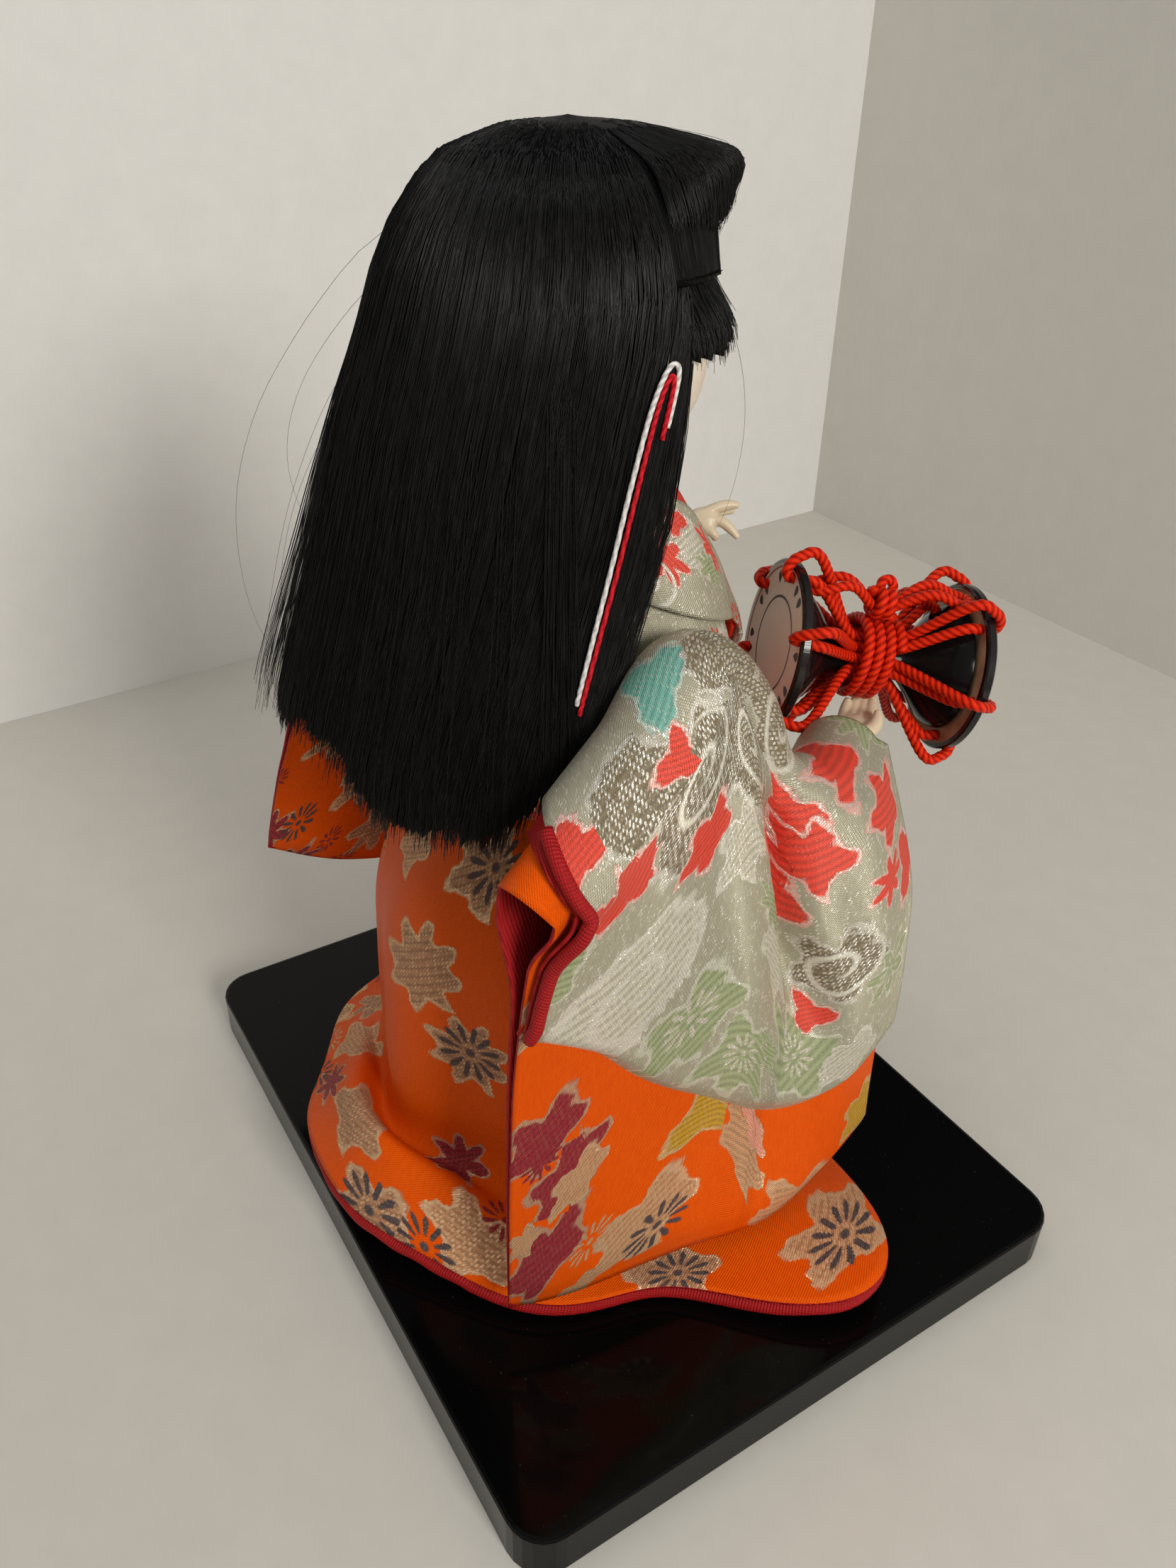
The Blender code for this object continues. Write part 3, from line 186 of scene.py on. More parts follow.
# One woven figure: where it is, its outline and its ribs
tree, given, out = group("woven_figure", [("Place", "Vector"), ("Shape", "Color")], [("Mask", "Float"), ("Rim", "Float"), ("Rib", "Float")])
stepped = tree.vector("SNAP", given["Place"], (0.045, 0.03, 1.0))
shape = tree.node("SeparateColor", {0: given["Shape"]}).outputs
sep = tree.node("SeparateXYZ", {0: stepped}).outputs
radius = tree.vector("LENGTH", stepped)
turn = tree.math("ARCTAN2", sep["Y"], sep["X"])
wave = tree.math("COSINE", tree.math("MULTIPLY", turn, tree.math("MULTIPLY", shape["Red"], 16.0)))
ragged = tree.math("MULTIPLY", tree.math("SUBTRACT", tree.noise(given["Place"], 2.6, 1.5), 0.5), 0.55)
lobes = tree.math("MULTIPLY", tree.math("MULTIPLY", tree.math("SUBTRACT", 1.0, wave), 0.5), shape["Green"])
edge = tree.math("ADD", tree.math("SUBTRACT", 0.92, lobes), ragged)
inside = tree.step(edge, radius, 22.0)
core = tree.step(tree.math("SUBTRACT", edge, 0.11), radius, 22.0)
petals = tree.math("MULTIPLY", tree.step(wave, -0.1, 4.0), tree.step(radius, 0.27, 16.0))
petals = tree.math("MULTIPLY", petals, tree.step(tree.math("ADD", tree.math("MULTIPLY", wave, 0.16), 0.72), radius, 16.0))
petals = tree.math("MAXIMUM", petals, tree.step(0.15, radius, 20.0))
flower = tree.step(shape["Blue"], 0.75, 50.0)
scroll = tree.math("SUBTRACT", tree.step(shape["Blue"], 0.25, 50.0), flower)
patch = tree.math("SUBTRACT", 1.0, tree.math("ADD", flower, scroll))
coil = tree.math("FRACT", tree.math("ADD", tree.math("DIVIDE", turn, math.tau), tree.math("MULTIPLY", radius, 1.75)))
vine = tree.step(0.17, tree.math("ABSOLUTE", tree.math("SUBTRACT", coil, 0.5)), 9.0)
vine = tree.math("MULTIPLY", vine, tree.math("MULTIPLY", tree.step(0.98, radius, 16.0), tree.step(radius, 0.12, 12.0)))
mask = tree.math("ADD", tree.math("MULTIPLY", petals, flower), tree.math("MULTIPLY", inside, patch))
tree.tree.links.new(tree.math("ADD", mask, tree.math("MULTIPLY", vine, scroll)), out["Mask"])
rim = tree.math("ADD", tree.math("MULTIPLY", tree.math("SUBTRACT", inside, core), patch), tree.math("MULTIPLY", vine, scroll))
tree.tree.links.new(rim, out["Rim"])
# The rib stripes, which the brocade paints as shade between the figure's raised ribs
sep = tree.node("SeparateXYZ", {0: given["Place"]}).outputs
slope = tree.math("ADD", tree.math("MULTIPLY", sep["X"], 20.0), tree.math("MULTIPLY", sep["Y"], 38.0))
tree.tree.links.new(tree.math("ADD", tree.math("MULTIPLY", tree.math("SINE", slope), 0.5), 0.5), out["Rib"])


def cloth_place(tree):
    """The piece's own cloth coordinates, in millimetres."""
    return tree.vector("MULTIPLY", tree.node("UVMap", uv_map="cloth").outputs["UV"], (1000, 1000, 0))


def brocade(name, ground, lit, thread, pitch, cover, roughness, specular, tint, lustre=0.0):
    """Satin ground with two layers of woven figures, whose places, shapes and colours the mesh holds. Its colour
    carries painted shade and light: the threads mix a shaded and a lit tone of the ground, the figures' thread crowns
    take painted light and their ribs painted shade.
    """
    made, tree, shader = material(name, ground, roughness, Specular_IOR_Level=specular, Specular_Tint=tint)
    cloth = cloth_place(tree)
    weave = placed_group(tree, "woven_threads", {"Cloth": cloth, "Pitch": pitch, "Slant": 0.9})
    ribbed = placed_group(tree, "woven_threads", {"Cloth": cloth, "Pitch": pitch * 1.6, "Slant": 0.0})
    metal = placed_group(tree, "metal_threads", {"Cloth": cloth, "Pitch": pitch * 1.3, "Cover": cover})["Mask"]
    fine = placed_group(tree, "metal_threads", {"Cloth": cloth, "Pitch": pitch * 1.3, "Cover": 0.30})["Mask"]
    # Painted shade and light: the threads' shade mixes the ground's shaded tone into its lit tone
    colour = tree.mix(weave["Shade"], ground, lit)
    bright = tree.math("MULTIPLY", metal, 0.8)
    height = tree.math("ADD", tree.math("MULTIPLY", weave["Height"], 0.35), tree.math("MULTIPLY", metal, 0.3))
    bare = tree.math("ADD", 0.55, tree.math("MULTIPLY", weave["Shade"], 0.45))
    for layer in ("under", "over"):
        place = tree.node("UVMap", uv_map=layer).outputs["UV"]
        figure = tree.node("Attribute", attribute_name=layer + "_colour").outputs
        shape = tree.node("Attribute", attribute_name=layer + "_shape").outputs["Color"]
        woven = placed_group(tree, "woven_figure", {"Place": place, "Shape": shape})
        # Painted light on the figure's thread crowns: its colour mixed a little towards the ground's lit tone
        tinted = tree.mix(tree.math("MULTIPLY", ribbed["Shade"], 0.7), figure["Color"], tree.mix(0.14, figure["Color"], lit))
        # Painted shade between the figure's raised ribs: its colour darkened towards near black along the rib stripes
        tinted = tree.mix(tree.math("MULTIPLY", woven["Rib"], 0.34), tinted, (0.02, 0.012, 0.01))
        colour = tree.mix(woven["Mask"], colour, tinted)
        gilt = tree.math("MULTIPLY", tree.math("MULTIPLY", fine, figure["Alpha"]), woven["Mask"])
        open_ground = tree.math("SUBTRACT", 1.0, woven["Mask"])
        bright = tree.math("MULTIPLY", bright, open_ground)
        bare = tree.math("MULTIPLY", bare, open_ground)
        bright = tree.math("ADD", bright, gilt)
        edged = tree.math("MULTIPLY", woven["Rim"], tree.math("ADD", 0.45, tree.math("MULTIPLY", fine, 0.55)))
        bright = tree.math("MAXIMUM", bright, edged)
        raised = tree.math("ADD", tree.math("MULTIPLY", woven["Mask"], 0.3), tree.math("MULTIPLY", woven["Rim"], 0.5))
        height = tree.math("ADD", height, raised)
    colour = tree.mix(bright, colour, thread)
    silken = tree.math("MULTIPLY", bare, lustre)
    feed(tree, shader, Base_Color=colour, Metallic=tree.math("MAXIMUM", tree.math("MULTIPLY", bright, 0.8), silken))
    rough = tree.math("SUBTRACT", roughness + 0.05, tree.math("MULTIPLY", bright, 0.16))
    feed(tree, shader, Roughness=tree.math("ADD", rough, tree.math("MULTIPLY", weave["Shade"], 0.1)))
    bumped(tree, shader, height, 0.00028, 0.9)
    return made


def plain_weave(name, dark, light, pitch, roughness):
    made, tree, shader = material(name, dark, roughness, Specular_IOR_Level=0.22)
    weave = placed_group(tree, "woven_threads", {"Cloth": cloth_place(tree), "Pitch": pitch, "Slant": 0.15})
    # Painted shade and light: the threads' shade mixes the dark tone into the light one
    feed(tree, shader, Base_Color=tree.mix(weave["Shade"], dark, light))
    bumped(tree, shader, weave["Height"], 0.0002, 0.8)
    return made


# Each brocade's ground is given as a shaded and a lit tone, which the threads mix as painted shade and light
orange_brocade = brocade("orange_satin_brocade", (0.52, 0.040, 0.0008), (0.92, 0.125, 0.003), (0.88, 0.60, 0.36), 0.42, -0.02, 0.34, 0.35, (1.0, 0.38, 0.08))
green_brocade = brocade("celadon_satin_brocade", (0.22, 0.195, 0.125), (0.62, 0.59, 0.45), (1.00, 0.96, 0.84), 0.42, 0.20, 0.30, 0.5, (1.0, 0.96, 0.85), 0.42)
crimson_cloth = plain_weave("crimson_lining_cloth", (0.16, 0.002, 0.003), (0.50, 0.008, 0.010), 0.55, 0.6)
white_cloth = plain_weave("pale_silk", (0.62, 0.62, 0.52), (0.84, 0.82, 0.74), 0.45, 0.5)

made, tree, shader = material("combed_black_silk_hair", (0.0012, 0.0012, 0.0013), 0.36, Specular_IOR_Level=0.08)
place = tree.node("UVMap", uv_map="cloth").outputs["UV"]
combed = tree.noise(tree.vector("MULTIPLY", place, (2600, 26, 0)), 1.0, 3.0, 0.7)
broad = tree.noise(tree.vector("MULTIPLY", place, (420, 10, 0)), 1.0, 2.0)
feed(tree, shader, Base_Color=tree.mix(tree.step(combed, 0.55, 4.0), (0.0012, 0.0012, 0.0014), (0.0065, 0.0062, 0.006)))
feed(tree, shader, Roughness=tree.math("ADD", 0.22, tree.math("MULTIPLY", combed, 0.28)))
bumped(tree, shader, tree.math("ADD", tree.math("MULTIPLY", combed, 0.8), tree.math("MULTIPLY", broad, 1.4)), 0.0004, 0.9)
hair_silk = made

made, tree, shader = material("loose_hair_strands", (0.003, 0.003, 0.003), 0.33, Specular_IOR_Level=0.22)
place = tree.node("TexCoord").outputs["Object"]
# Painted glints: lighter noise spots in the strands' colour, whose noise also varies their roughness
shine = tree.noise(tree.vector("MULTIPLY", place, (1, 1, 0.25)), 900.0, 2.0)
feed(tree, shader, Base_Color=tree.mix(shine, (0.0012, 0.0012, 0.0013), (0.010, 0.0095, 0.009)))
feed(tree, shader, Roughness=tree.math("ADD", 0.25, tree.math("MULTIPLY", shine, 0.2)))
strand_silk = made


def cord_silk(name, dark, light, roughness):
    """Cord of laid plies, its colour painted light along each ply and painted shade in the hollow between, with random
    fibre tone.
    """
    made, tree, shader = material(name, light, roughness, Specular_IOR_Level=0.45, Specular_Tint=tuple(min(1.0, c * 1.1 + 0.12) for c in light))
    ply = tree.node("UVMap", uv_map="ply").outputs["UV"]
    sep = tree.node("SeparateXYZ", {0: ply}).outputs
    fibre = tree.noise(tree.vector("MULTIPLY", ply, (9.0, 1.6, 0.0)), 1.0, 2.0, 0.7)
    # Painted light on each ply's crown, painted shade in the hollow between plies
    ply_crown_light = tree.step(sep["Y"], 0.12, 1.5)
    feed(tree, shader, Base_Color=tree.mix(tree.math("MULTIPLY", ply_crown_light, tree.math("ADD", 0.55, tree.math("MULTIPLY", fibre, 0.45))), dark, light))
    feed(tree, shader, Roughness=tree.math("ADD", roughness - 0.1, tree.math("MULTIPLY", fibre, 0.25)))
    bumped(tree, shader, fibre, 0.00012, 0.7)
    return made


vermilion_cord = cord_silk("vermilion_silk_cord", (0.34, 0.005, 0.0015), (0.86, 0.036, 0.006), 0.36)
red_paper_cord = cord_silk("red_paper_cord", (0.30, 0.004, 0.010), (0.70, 0.02, 0.03), 0.5)
white_paper_cord = cord_silk("white_paper_cord", (0.45, 0.42, 0.40), (0.86, 0.84, 0.82), 0.5)


def lacquer(name, colour, roughness, dust):
    made, tree, shader = material(name, colour, roughness, Specular_IOR_Level=0.11)
    place = tree.node("TexCoord").outputs["Object"]
    wiped = tree.noise(tree.vector("MULTIPLY", place, (1, 3.5, 1)), 60.0, 4.0, 0.6)
    speck = tree.step(tree.noise(place, 1900.0, 1.0), 0.76, 18.0)
    feed(tree, shader, Roughness=tree.math("ADD", roughness, tree.math("MULTIPLY", wiped, 0.08)))
    feed(tree, shader, Base_Color=tree.mix(tree.math("MULTIPLY", speck, dust), colour, (0.35, 0.34, 0.32)))
    bumped(tree, shader, tree.noise(place, 240.0, 1.0), 0.00002, 0.25)
    return made


board_lacquer = lacquer("black_board_lacquer", (0.0018, 0.0017, 0.0017), 0.04, 0.12)
drum_lacquer = lacquer("black_drum_lacquer", (0.006, 0.005, 0.005), 0.12, 0.0)


def skin_paint(name, tone_low, tone_high, blush):
    """Shell-white paint, slightly translucent, with faint brush marks."""
    made, tree, shader = material(name, tone_low, 0.42, Subsurface_Weight=0.12, Subsurface_Scale=0.002, Subsurface_Radius=(1.0, 0.5, 0.3))
    place = tree.node("TexCoord").outputs["Object"]
    tone = tree.noise(place, 180.0, 3.0)
    colour = tree.mix(tone, tone_low, tone_high)
    if blush:
        face = tree.node("UVMap", uv_map="face").outputs["UV"]
        for x, y, wide, tall, soft, paint in FACE_PAINT:
            for side in (-1, 1) if x else (1,):
                local = tree.vector("MULTIPLY", tree.vector("SUBTRACT", face, (side * x, y, 0)), (1 / wide, 1 / tall, 0))
                spot = tree.step(1.0, tree.vector("LENGTH", local), soft)
                colour = tree.mix(tree.math("MULTIPLY", spot, paint[3]), colour, paint[:3])
    feed(tree, shader, Base_Color=colour)
    feed(tree, shader, Roughness=tree.math("ADD", 0.34, tree.math("MULTIPLY", tone, 0.15)))
    bumped(tree, shader, tree.noise(place, 900.0, 2.0), 0.00003, 0.5)
    return made


# Places painted on the face, from its middle, in millimetres: x, y, half width, half height, edge, colour and strength
FACE_PAINT = (
    (9.5, -7.0, 6.0, 4.5, 1.0, (0.80, 0.36, 0.28, 0.28)),
    (7.0, 10.2, 2.6, 1.1, 1.6, (0.05, 0.035, 0.03, 0.75)),
    (7.8, 1.2, 3.3, 0.55, 3.0, (0.02, 0.014, 0.012, 0.95)),
    (0.0, -10.6, 2.3, 1.2, 4.0, (0.52, 0.022, 0.03, 0.95)),
)
face_skin = skin_paint("shell_white_face", (0.72, 0.64, 0.51), (0.82, 0.76, 0.64), True)
# The hands' paint is darker than the face's: painted shade for the shadow the body casts on them
hand_skin = skin_paint("shaded_shell_white_hand", (0.58, 0.46, 0.30), (0.74, 0.63, 0.46), False)


def simple_grain(name, dark, light, roughness, scale, stretch, bump, **sockets):
    made, tree, shader = material(name, dark, roughness, **sockets)
    place = tree.vector("MULTIPLY", tree.node("TexCoord").outputs["Object"], stretch)
    grain = tree.noise(place, scale, 4.0, 0.65)
    feed(tree, shader, Base_Color=tree.mix(grain, dark, light), Roughness=tree.math("ADD", roughness - 0.1, tree.math("MULTIPLY", grain, 0.2)))
    bumped(tree, shader, grain, bump, 0.8)
    return made


turned_wood = simple_grain("turned_wood", (0.36, 0.22, 0.11), (0.68, 0.48, 0.29), 0.6, 260.0, (5, 5, 0.4), 0.0001)
plain_steel = simple_grain("plain_steel", (0.42, 0.42, 0.43), (0.62, 0.62, 0.63), 0.35, 900.0, (1, 1, 6), 0.00003, Metallic=1.0)
bound_straw = simple_grain("bound_straw", (0.40, 0.29, 0.13), (0.74, 0.60, 0.34), 0.85, 420.0, (6, 6, 0.3), 0.0005)
dark_glass = simple_grain("dark_eye_glass", (0.006, 0.004, 0.003), (0.03, 0.018, 0.01), 0.12, 500.0, (1, 1, 1), 0.00001, Coat_Weight=1.0)

for node, finish in (
    ("base_board", board_lacquer),
    ("base_peg", turned_wood),
    ("leg_core", turned_wood),
    ("core_dowel", turned_wood),
    ("neck_peg", turned_wood),
    ("base_screw", plain_steel),
    ("arm_wire", plain_steel),
    ("body_core", bound_straw),
    ("right_eye", dark_glass),
    ("left_eye", dark_glass),
):
    nodes[node].data.materials.clear()
    nodes[node].data.materials.append(finish)


# Curves through points and tables, as arrays


def through(points, shares):
    """Points on the smooth curve through the points, at shares of its spans."""
    points = np.asarray(points, float)
    shares = np.asarray(shares, float)
    spans = len(points) - 1
    place = np.clip(shares, 0, 1) * spans
    i = np.minimum(place.astype(int), spans - 1)
    t = (place - i).reshape(place.shape + (1,) * (points.ndim - 1))
    before, start = points[np.maximum(i - 1, 0)], points[i]
    end, after = points[i + 1], points[np.minimum(i + 2, spans)]
    lead, trail, chord = (end - before) / 2, (after - start) / 2, end - start
    return start + t * (lead + t * ((3 * chord - 2 * lead - trail) + t * (lead + trail - 2 * chord)))


def columns(rows, place):
    """A table's columns after its first, smoothly between rows."""
    rows = np.asarray(rows, float)
    share = np.interp(place, rows[:, 0], np.arange(len(rows))) / (len(rows) - 1)
    return np.moveaxis(through(rows[:, 1:], share), -1, 0)


def ease(value):
    held = np.clip(value, 0.0, 1.0)
    return held * held * (3.0 - 2.0 * held)


def mix(a, b, share):
    return a + (b - a) * share


def bump(degrees, center, width):
    away = (degrees - center + 180.0) % 360.0 - 180.0
    return np.exp(-((away / width) ** 2))


def unit(vectors):
    return vectors / np.linalg.norm(vectors, axis=-1, keepdims=True)


def ripples(x, y, seeds, size):
    """Smooth irregular waves over two coordinates in millimetres, about -1 to 1."""
    total = np.zeros(np.broadcast(x, y).shape)
    for k in range(seeds):
        turn, shift = 2.4 * k + 0.6, 1.7 * k * k + 0.3
        total += np.sin((x * math.cos(turn) + y * math.sin(turn)) / size * (1.0 + 0.37 * k) + shift) / (1.0 + 0.4 * k)
    return total / seeds * 1.6


# Meshes from grids of points


def finish_piece(item, body, finish, smooth=True):
    bpy.context.scene.collection.objects.link(item)
    for one in finish if isinstance(finish, (list, tuple)) else [finish]:
        item.data.materials.append(one)
    if smooth and item.type == "MESH":
        item.data.shade_smooth()
    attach(item, body)
    return item


def grid_faces(rows, across, closed):
    i, j = np.meshgrid(np.arange(rows if closed else rows - 1), np.arange(across - 1), indexing="ij")
    k = (i + 1) % rows
    return np.stack([i * across + j, k * across + j, k * across + j + 1, i * across + j + 1], -1).reshape(-1, 4), i.ravel(), j.ravel()


def cloth_uv(grid, closed, middle=0):
    """Distances in the cloth, in metres: round it on its broadest line, and down it from the middle column."""
    down = np.concatenate([np.zeros((len(grid), 1)), np.cumsum(np.linalg.norm(np.diff(grid, axis=1), axis=2), axis=1)], 1)
    down -= down[:, middle : middle + 1]
    ring = np.concatenate([grid, grid[:1]]) if closed else grid
    steps = np.linalg.norm(np.diff(ring, axis=0), axis=2).mean(axis=1)
    along = np.concatenate([[0], np.cumsum(steps)])
    return along, down


def grid_mesh(name, grid, closed=False, flip=False, middle=0):
    """A sheet through a grid of points, with its own cloth coordinates."""
    rows, across = grid.shape[:2]
    faces, i, j = grid_faces(rows, across, closed)
    along, down = cloth_uv(grid, closed, middle)
    if flip:
        faces = faces[:, ::-1]
    mesh = bpy.data.meshes.new(name)
    mesh.from_pydata(grid.reshape(-1, 3).tolist(), [], faces.tolist())
    corners = [(i, j), (i + 1, j), (i + 1, j + 1), (i, j + 1)]
    uv = np.stack([np.stack([along[a], down[a % rows, b]], -1) for a, b in corners], 1)
    if flip:
        uv = uv[:, ::-1]
    layer = mesh.uv_layers.new(name="cloth")
    layer.data.foreach_set("uv", uv.reshape(-1).astype(np.float32))
    return bpy.data.objects.new(name, mesh)


def weave_figures(item, layer, figures):
    """Gives each face its nearest figure: its place in it, its colour and its shape.

    A figure is its centre and size in millimetres, its turn in degrees, its colour with its share of metal
    thread, and its shape: petals, depth of the notches, and 1 for a flower of separate petals.
    """
    mesh = item.data
    count = len(mesh.loops)
    cloth = np.empty(count * 2, np.float32)
    mesh.uv_layers["cloth"].data.foreach_get("uv", cloth)
    cloth = cloth.reshape(-1, 4, 2) * 1000.0
    center = cloth.mean(axis=1)
    spots = np.array([f[0] for f in figures], float)
    sizes = np.array([f[1] for f in figures], float)
    nearest = (np.linalg.norm(center[:, None] - spots[None], axis=2) / sizes[None]).argmin(axis=1)
    turns = np.radians([f[2] for f in figures])[nearest][:, None]
    local = (cloth - spots[nearest][:, None]) / sizes[nearest][:, None, None]
    x = local[..., 0] * np.cos(turns) + local[..., 1] * np.sin(turns)
    y = local[..., 1] * np.cos(turns) - local[..., 0] * np.sin(turns)
    mesh.uv_layers.new(name=layer).data.foreach_set("uv", np.stack([x, y], -1).reshape(-1).astype(np.float32))
    colours = np.array([f[3] for f in figures], float)[nearest]
    shapes = np.array([(f[4][0] / 16.0, f[4][1], f[4][2], 1.0) for f in figures], float)[nearest]
    for label, values in (("_colour", colours), ("_shape", shapes)):
        made = mesh.attributes.new(layer + label, "FLOAT_COLOR", "CORNER")
        made.data.foreach_set("color", np.repeat(values, 4, axis=0).reshape(-1).astype(np.float32))


def apply_all(item):
    bpy.context.view_layer.objects.active = item
    item.select_set(True)
    for step in list(item.modifiers):
        bpy.ops.object.modifier_apply(modifier=step.name)
    item.select_set(False)


def sheet_piece(name, grid, body, finish, replaced, closed=False, flip=False, middle=0, figures=None, wall=0.0006, inner=0):
    """A cloth sheet with a real thickness."""
    item = grid_mesh(name, grid, closed, flip, middle)
    if figures:
        weave_figures(item, "under", figures[0])
        weave_figures(item, "over", figures[1])
    finish_piece(item, body, finish)
    step = item.modifiers.new("thickness", "SOLIDIFY")
    step.thickness = wall
    step.offset = -1.0
    step.material_offset = inner
    step.material_offset_rim = inner
    apply_all(item)
    along, down = cloth_uv(grid, closed, 0)
    if replaced:
        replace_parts(item, *replaced)
    return item


# Traditional figures: chrysanthemum heads, cloud patches, maple sprays and blossom

GOLD = (0.52, 0.29, 0.15, 0.75)
BEIGE = (0.40, 0.22, 0.12, 0.55)
SLATE = (0.030, 0.060, 0.075, 0.05)
PLUM = (0.26, 0.018, 0.040, 0.08)
MUSTARD = (0.50, 0.30, 0.02, 0.30)
PINK = (0.80, 0.33, 0.24, 0.50)
VERMILION = (0.80, 0.026, 0.006, 0.03)
LEAF = (0.33, 0.38, 0.19, 0.12)
SILVER = (0.56, 0.52, 0.40, 0.80)
BRONZE = (0.20, 0.155, 0.088, 1.00)
TEAL = (0.15, 0.44, 0.36, 0.20)
CLOUD, SPRAY, MUM, VINE, LOBED, BROAD = (5, 0.30, 0), (7, 0.45, 0), (12, 0.0, 1), (1, 0.0, 0.5), (3, 0.40, 0), (4, 0.06, 0)


def scattered(width, height, step, kinds, seed, centre=(0.0, 0.0)):
    """Figures in staggered rows over an area of cloth, each kind in turn."""
    pick = random.Random(seed)
    found = []
    rows = int(height / step) + 2
    for r in range(rows):
        for c in range(int(width / step) + 2):
            colour, shape, size = kinds[(c * 2 + r * 3 + pick.randrange(2)) % len(kinds)]
            x = (c + 0.5 * (r % 2) + pick.uniform(-0.18, 0.18)) * step + centre[0] - step
            y = (r + pick.uniform(-0.18, 0.18)) * step * 0.9 + centre[1] - step
            found.append(((x, y), size * pick.uniform(0.85, 1.15), pick.uniform(-40, 40), colour, shape))
    return found


ORANGE_UNDER = ((GOLD, CLOUD, 9.0), (BEIGE, CLOUD, 8.0), (PLUM, SPRAY, 7.5), (BEIGE, SPRAY, 9.0), (MUSTARD, SPRAY, 5.5))
ORANGE_OVER = ((SLATE, MUM, 5.0), (GOLD, MUM, 4.0), (SLATE, MUM, 5.4), (PINK, (5, 0.35, 0), 3.4), (PLUM, MUM, 3.6))
GREEN_UNDER = ((VERMILION, SPRAY, 6.5), (LEAF, CLOUD, 8.0), (SILVER, CLOUD, 9.0), (VERMILION, (5, 0.5, 0), 5.5), (LEAF, SPRAY, 7.5))
GREEN_OVER = ((SILVER, MUM, 4.6), (LEAF, MUM, 4.4), (TEAL, (5, 0.4, 0), 3.4), (SILVER, (9, 0.4, 0), 3.6), (VERMILION, MUM, 3.4))


def orange_figures(width, height, seed, centre=(0.0, 0.0)):
    return (scattered(width, height, 19.0, ORANGE_UNDER, seed, centre), scattered(width, height, 15.0, ORANGE_OVER, seed + 1, centre))


def green_figures(width, height, seed, centre=(0.0, 0.0)):
    return (scattered(width, height, 15.0, GREEN_UNDER, seed, centre), scattered(width, height, 12.5, GREEN_OVER, seed + 1, centre))


def arranged(layers, chosen, bare):
    """Scattered figures, with chosen ones in their place inside the bare area: x and y from and to."""
    left, right, top, bottom = bare
    kept = []
    for scatter, fixed in zip(layers, chosen):
        outer = [f for f in scatter if not (left < f[0][0] < right and top < f[0][1] < bottom)]
        kept.append(outer + [((x, y), size, turn, colour, shape) for x, y, size, turn, colour, shape in fixed])
    return kept


# Where the figures lie on the pieces that the photograph shows: place, size, turn, colour and shape
GREEN_SLEEVE_UNDER = (
    (24.0, 1.0, 8.0, 20, TEAL, LOBED), (34.5, 7.0, 8.5, 0, BRONZE, BROAD), (12.0, 8.0, 8.5, 30, BRONZE, BROAD),
    (22.0, 18.5, 12.5, 10, BRONZE, BROAD), (2.5, 6.5, 6.5, 30, VERMILION, LOBED), (8.5, 19.5, 8.0, -35, VERMILION, CLOUD),
    (37.0, 20.0, 12.0, 0, BRONZE, BROAD), (63.5, 3.0, 11.5, 25, VERMILION, CLOUD), (47.0, 30.0, 11.0, 10, VERMILION, CLOUD),
    (71.0, 17.0, 8.0, 40, VERMILION, CLOUD), (14.5, 43.0, 13.0, 15, SILVER, BROAD), (0.0, 29.0, 8.0, 50, LEAF, CLOUD),
    (32.5, 35.0, 8.0, 0, SILVER, CLOUD), (25.0, 61.0, 11.5, 0, LEAF, CLOUD), (36.0, 74.0, 12.0, 30, LEAF, CLOUD),
    (54.5, 60.0, 12.0, -25, LEAF, CLOUD), (44.0, 50.0, 8.5, 15, SILVER, CLOUD), (61.5, 40.0, 9.5, 0, BRONZE, CLOUD),
    (72.0, 46.0, 8.0, 30, LEAF, SPRAY), (9.0, 63.0, 8.5, 0, LEAF, SPRAY), (53.0, 13.0, 7.0, 0, VERMILION, LOBED),
    (77.0, 30.0, 8.0, 0, VERMILION, LOBED), (66.0, 62.0, 8.0, 0, SILVER, CLOUD), (80.0, 6.0, 8.0, 0, LEAF, SPRAY),
    (44.0, 6.0, 8.5, 0, BRONZE, CLOUD),
)
GREEN_SLEEVE_OVER = (
    (19.0, 9.5, 5.0, 70, VERMILION, LOBED), (15.0, 43.5, 10.0, 40, SILVER, VINE), (24.0, 28.0, 6.5, 15, VERMILION, CLOUD),
    (36.0, 74.0, 5.4, 0, SILVER, MUM), (54.5, 59.0, 5.6, 0, SILVER, MUM), (55.5, 20.0, 8.5, 0, VERMILION, CLOUD),
    (37.0, 19.0, 8.0, 0, SILVER, VINE), (61.5, 40.0, 7.0, 0, SILVER, VINE), (72.0, 46.0, 4.4, 0, SILVER, MUM),
    (25.0, 60.0, 5.4, 20, SILVER, MUM), (68.5, 27.5, 5.5, 0, VERMILION, SPRAY), (41.0, 43.0, 5.4, 0, LEAF, SPRAY),
    (2.5, 18.0, 4.6, 0, VERMILION, LOBED), (21.5, 16.0, 7.5, 0, SILVER, VINE), (45.0, 68.0, 5.6, 0, LEAF, SPRAY),
    (58.0, 50.0, 5.4, 0, VERMILION, LOBED), (10.0, 62.0, 4.6, 0, SILVER, MUM), (46.0, 5.0, 6.0, 0, SILVER, VINE),
)
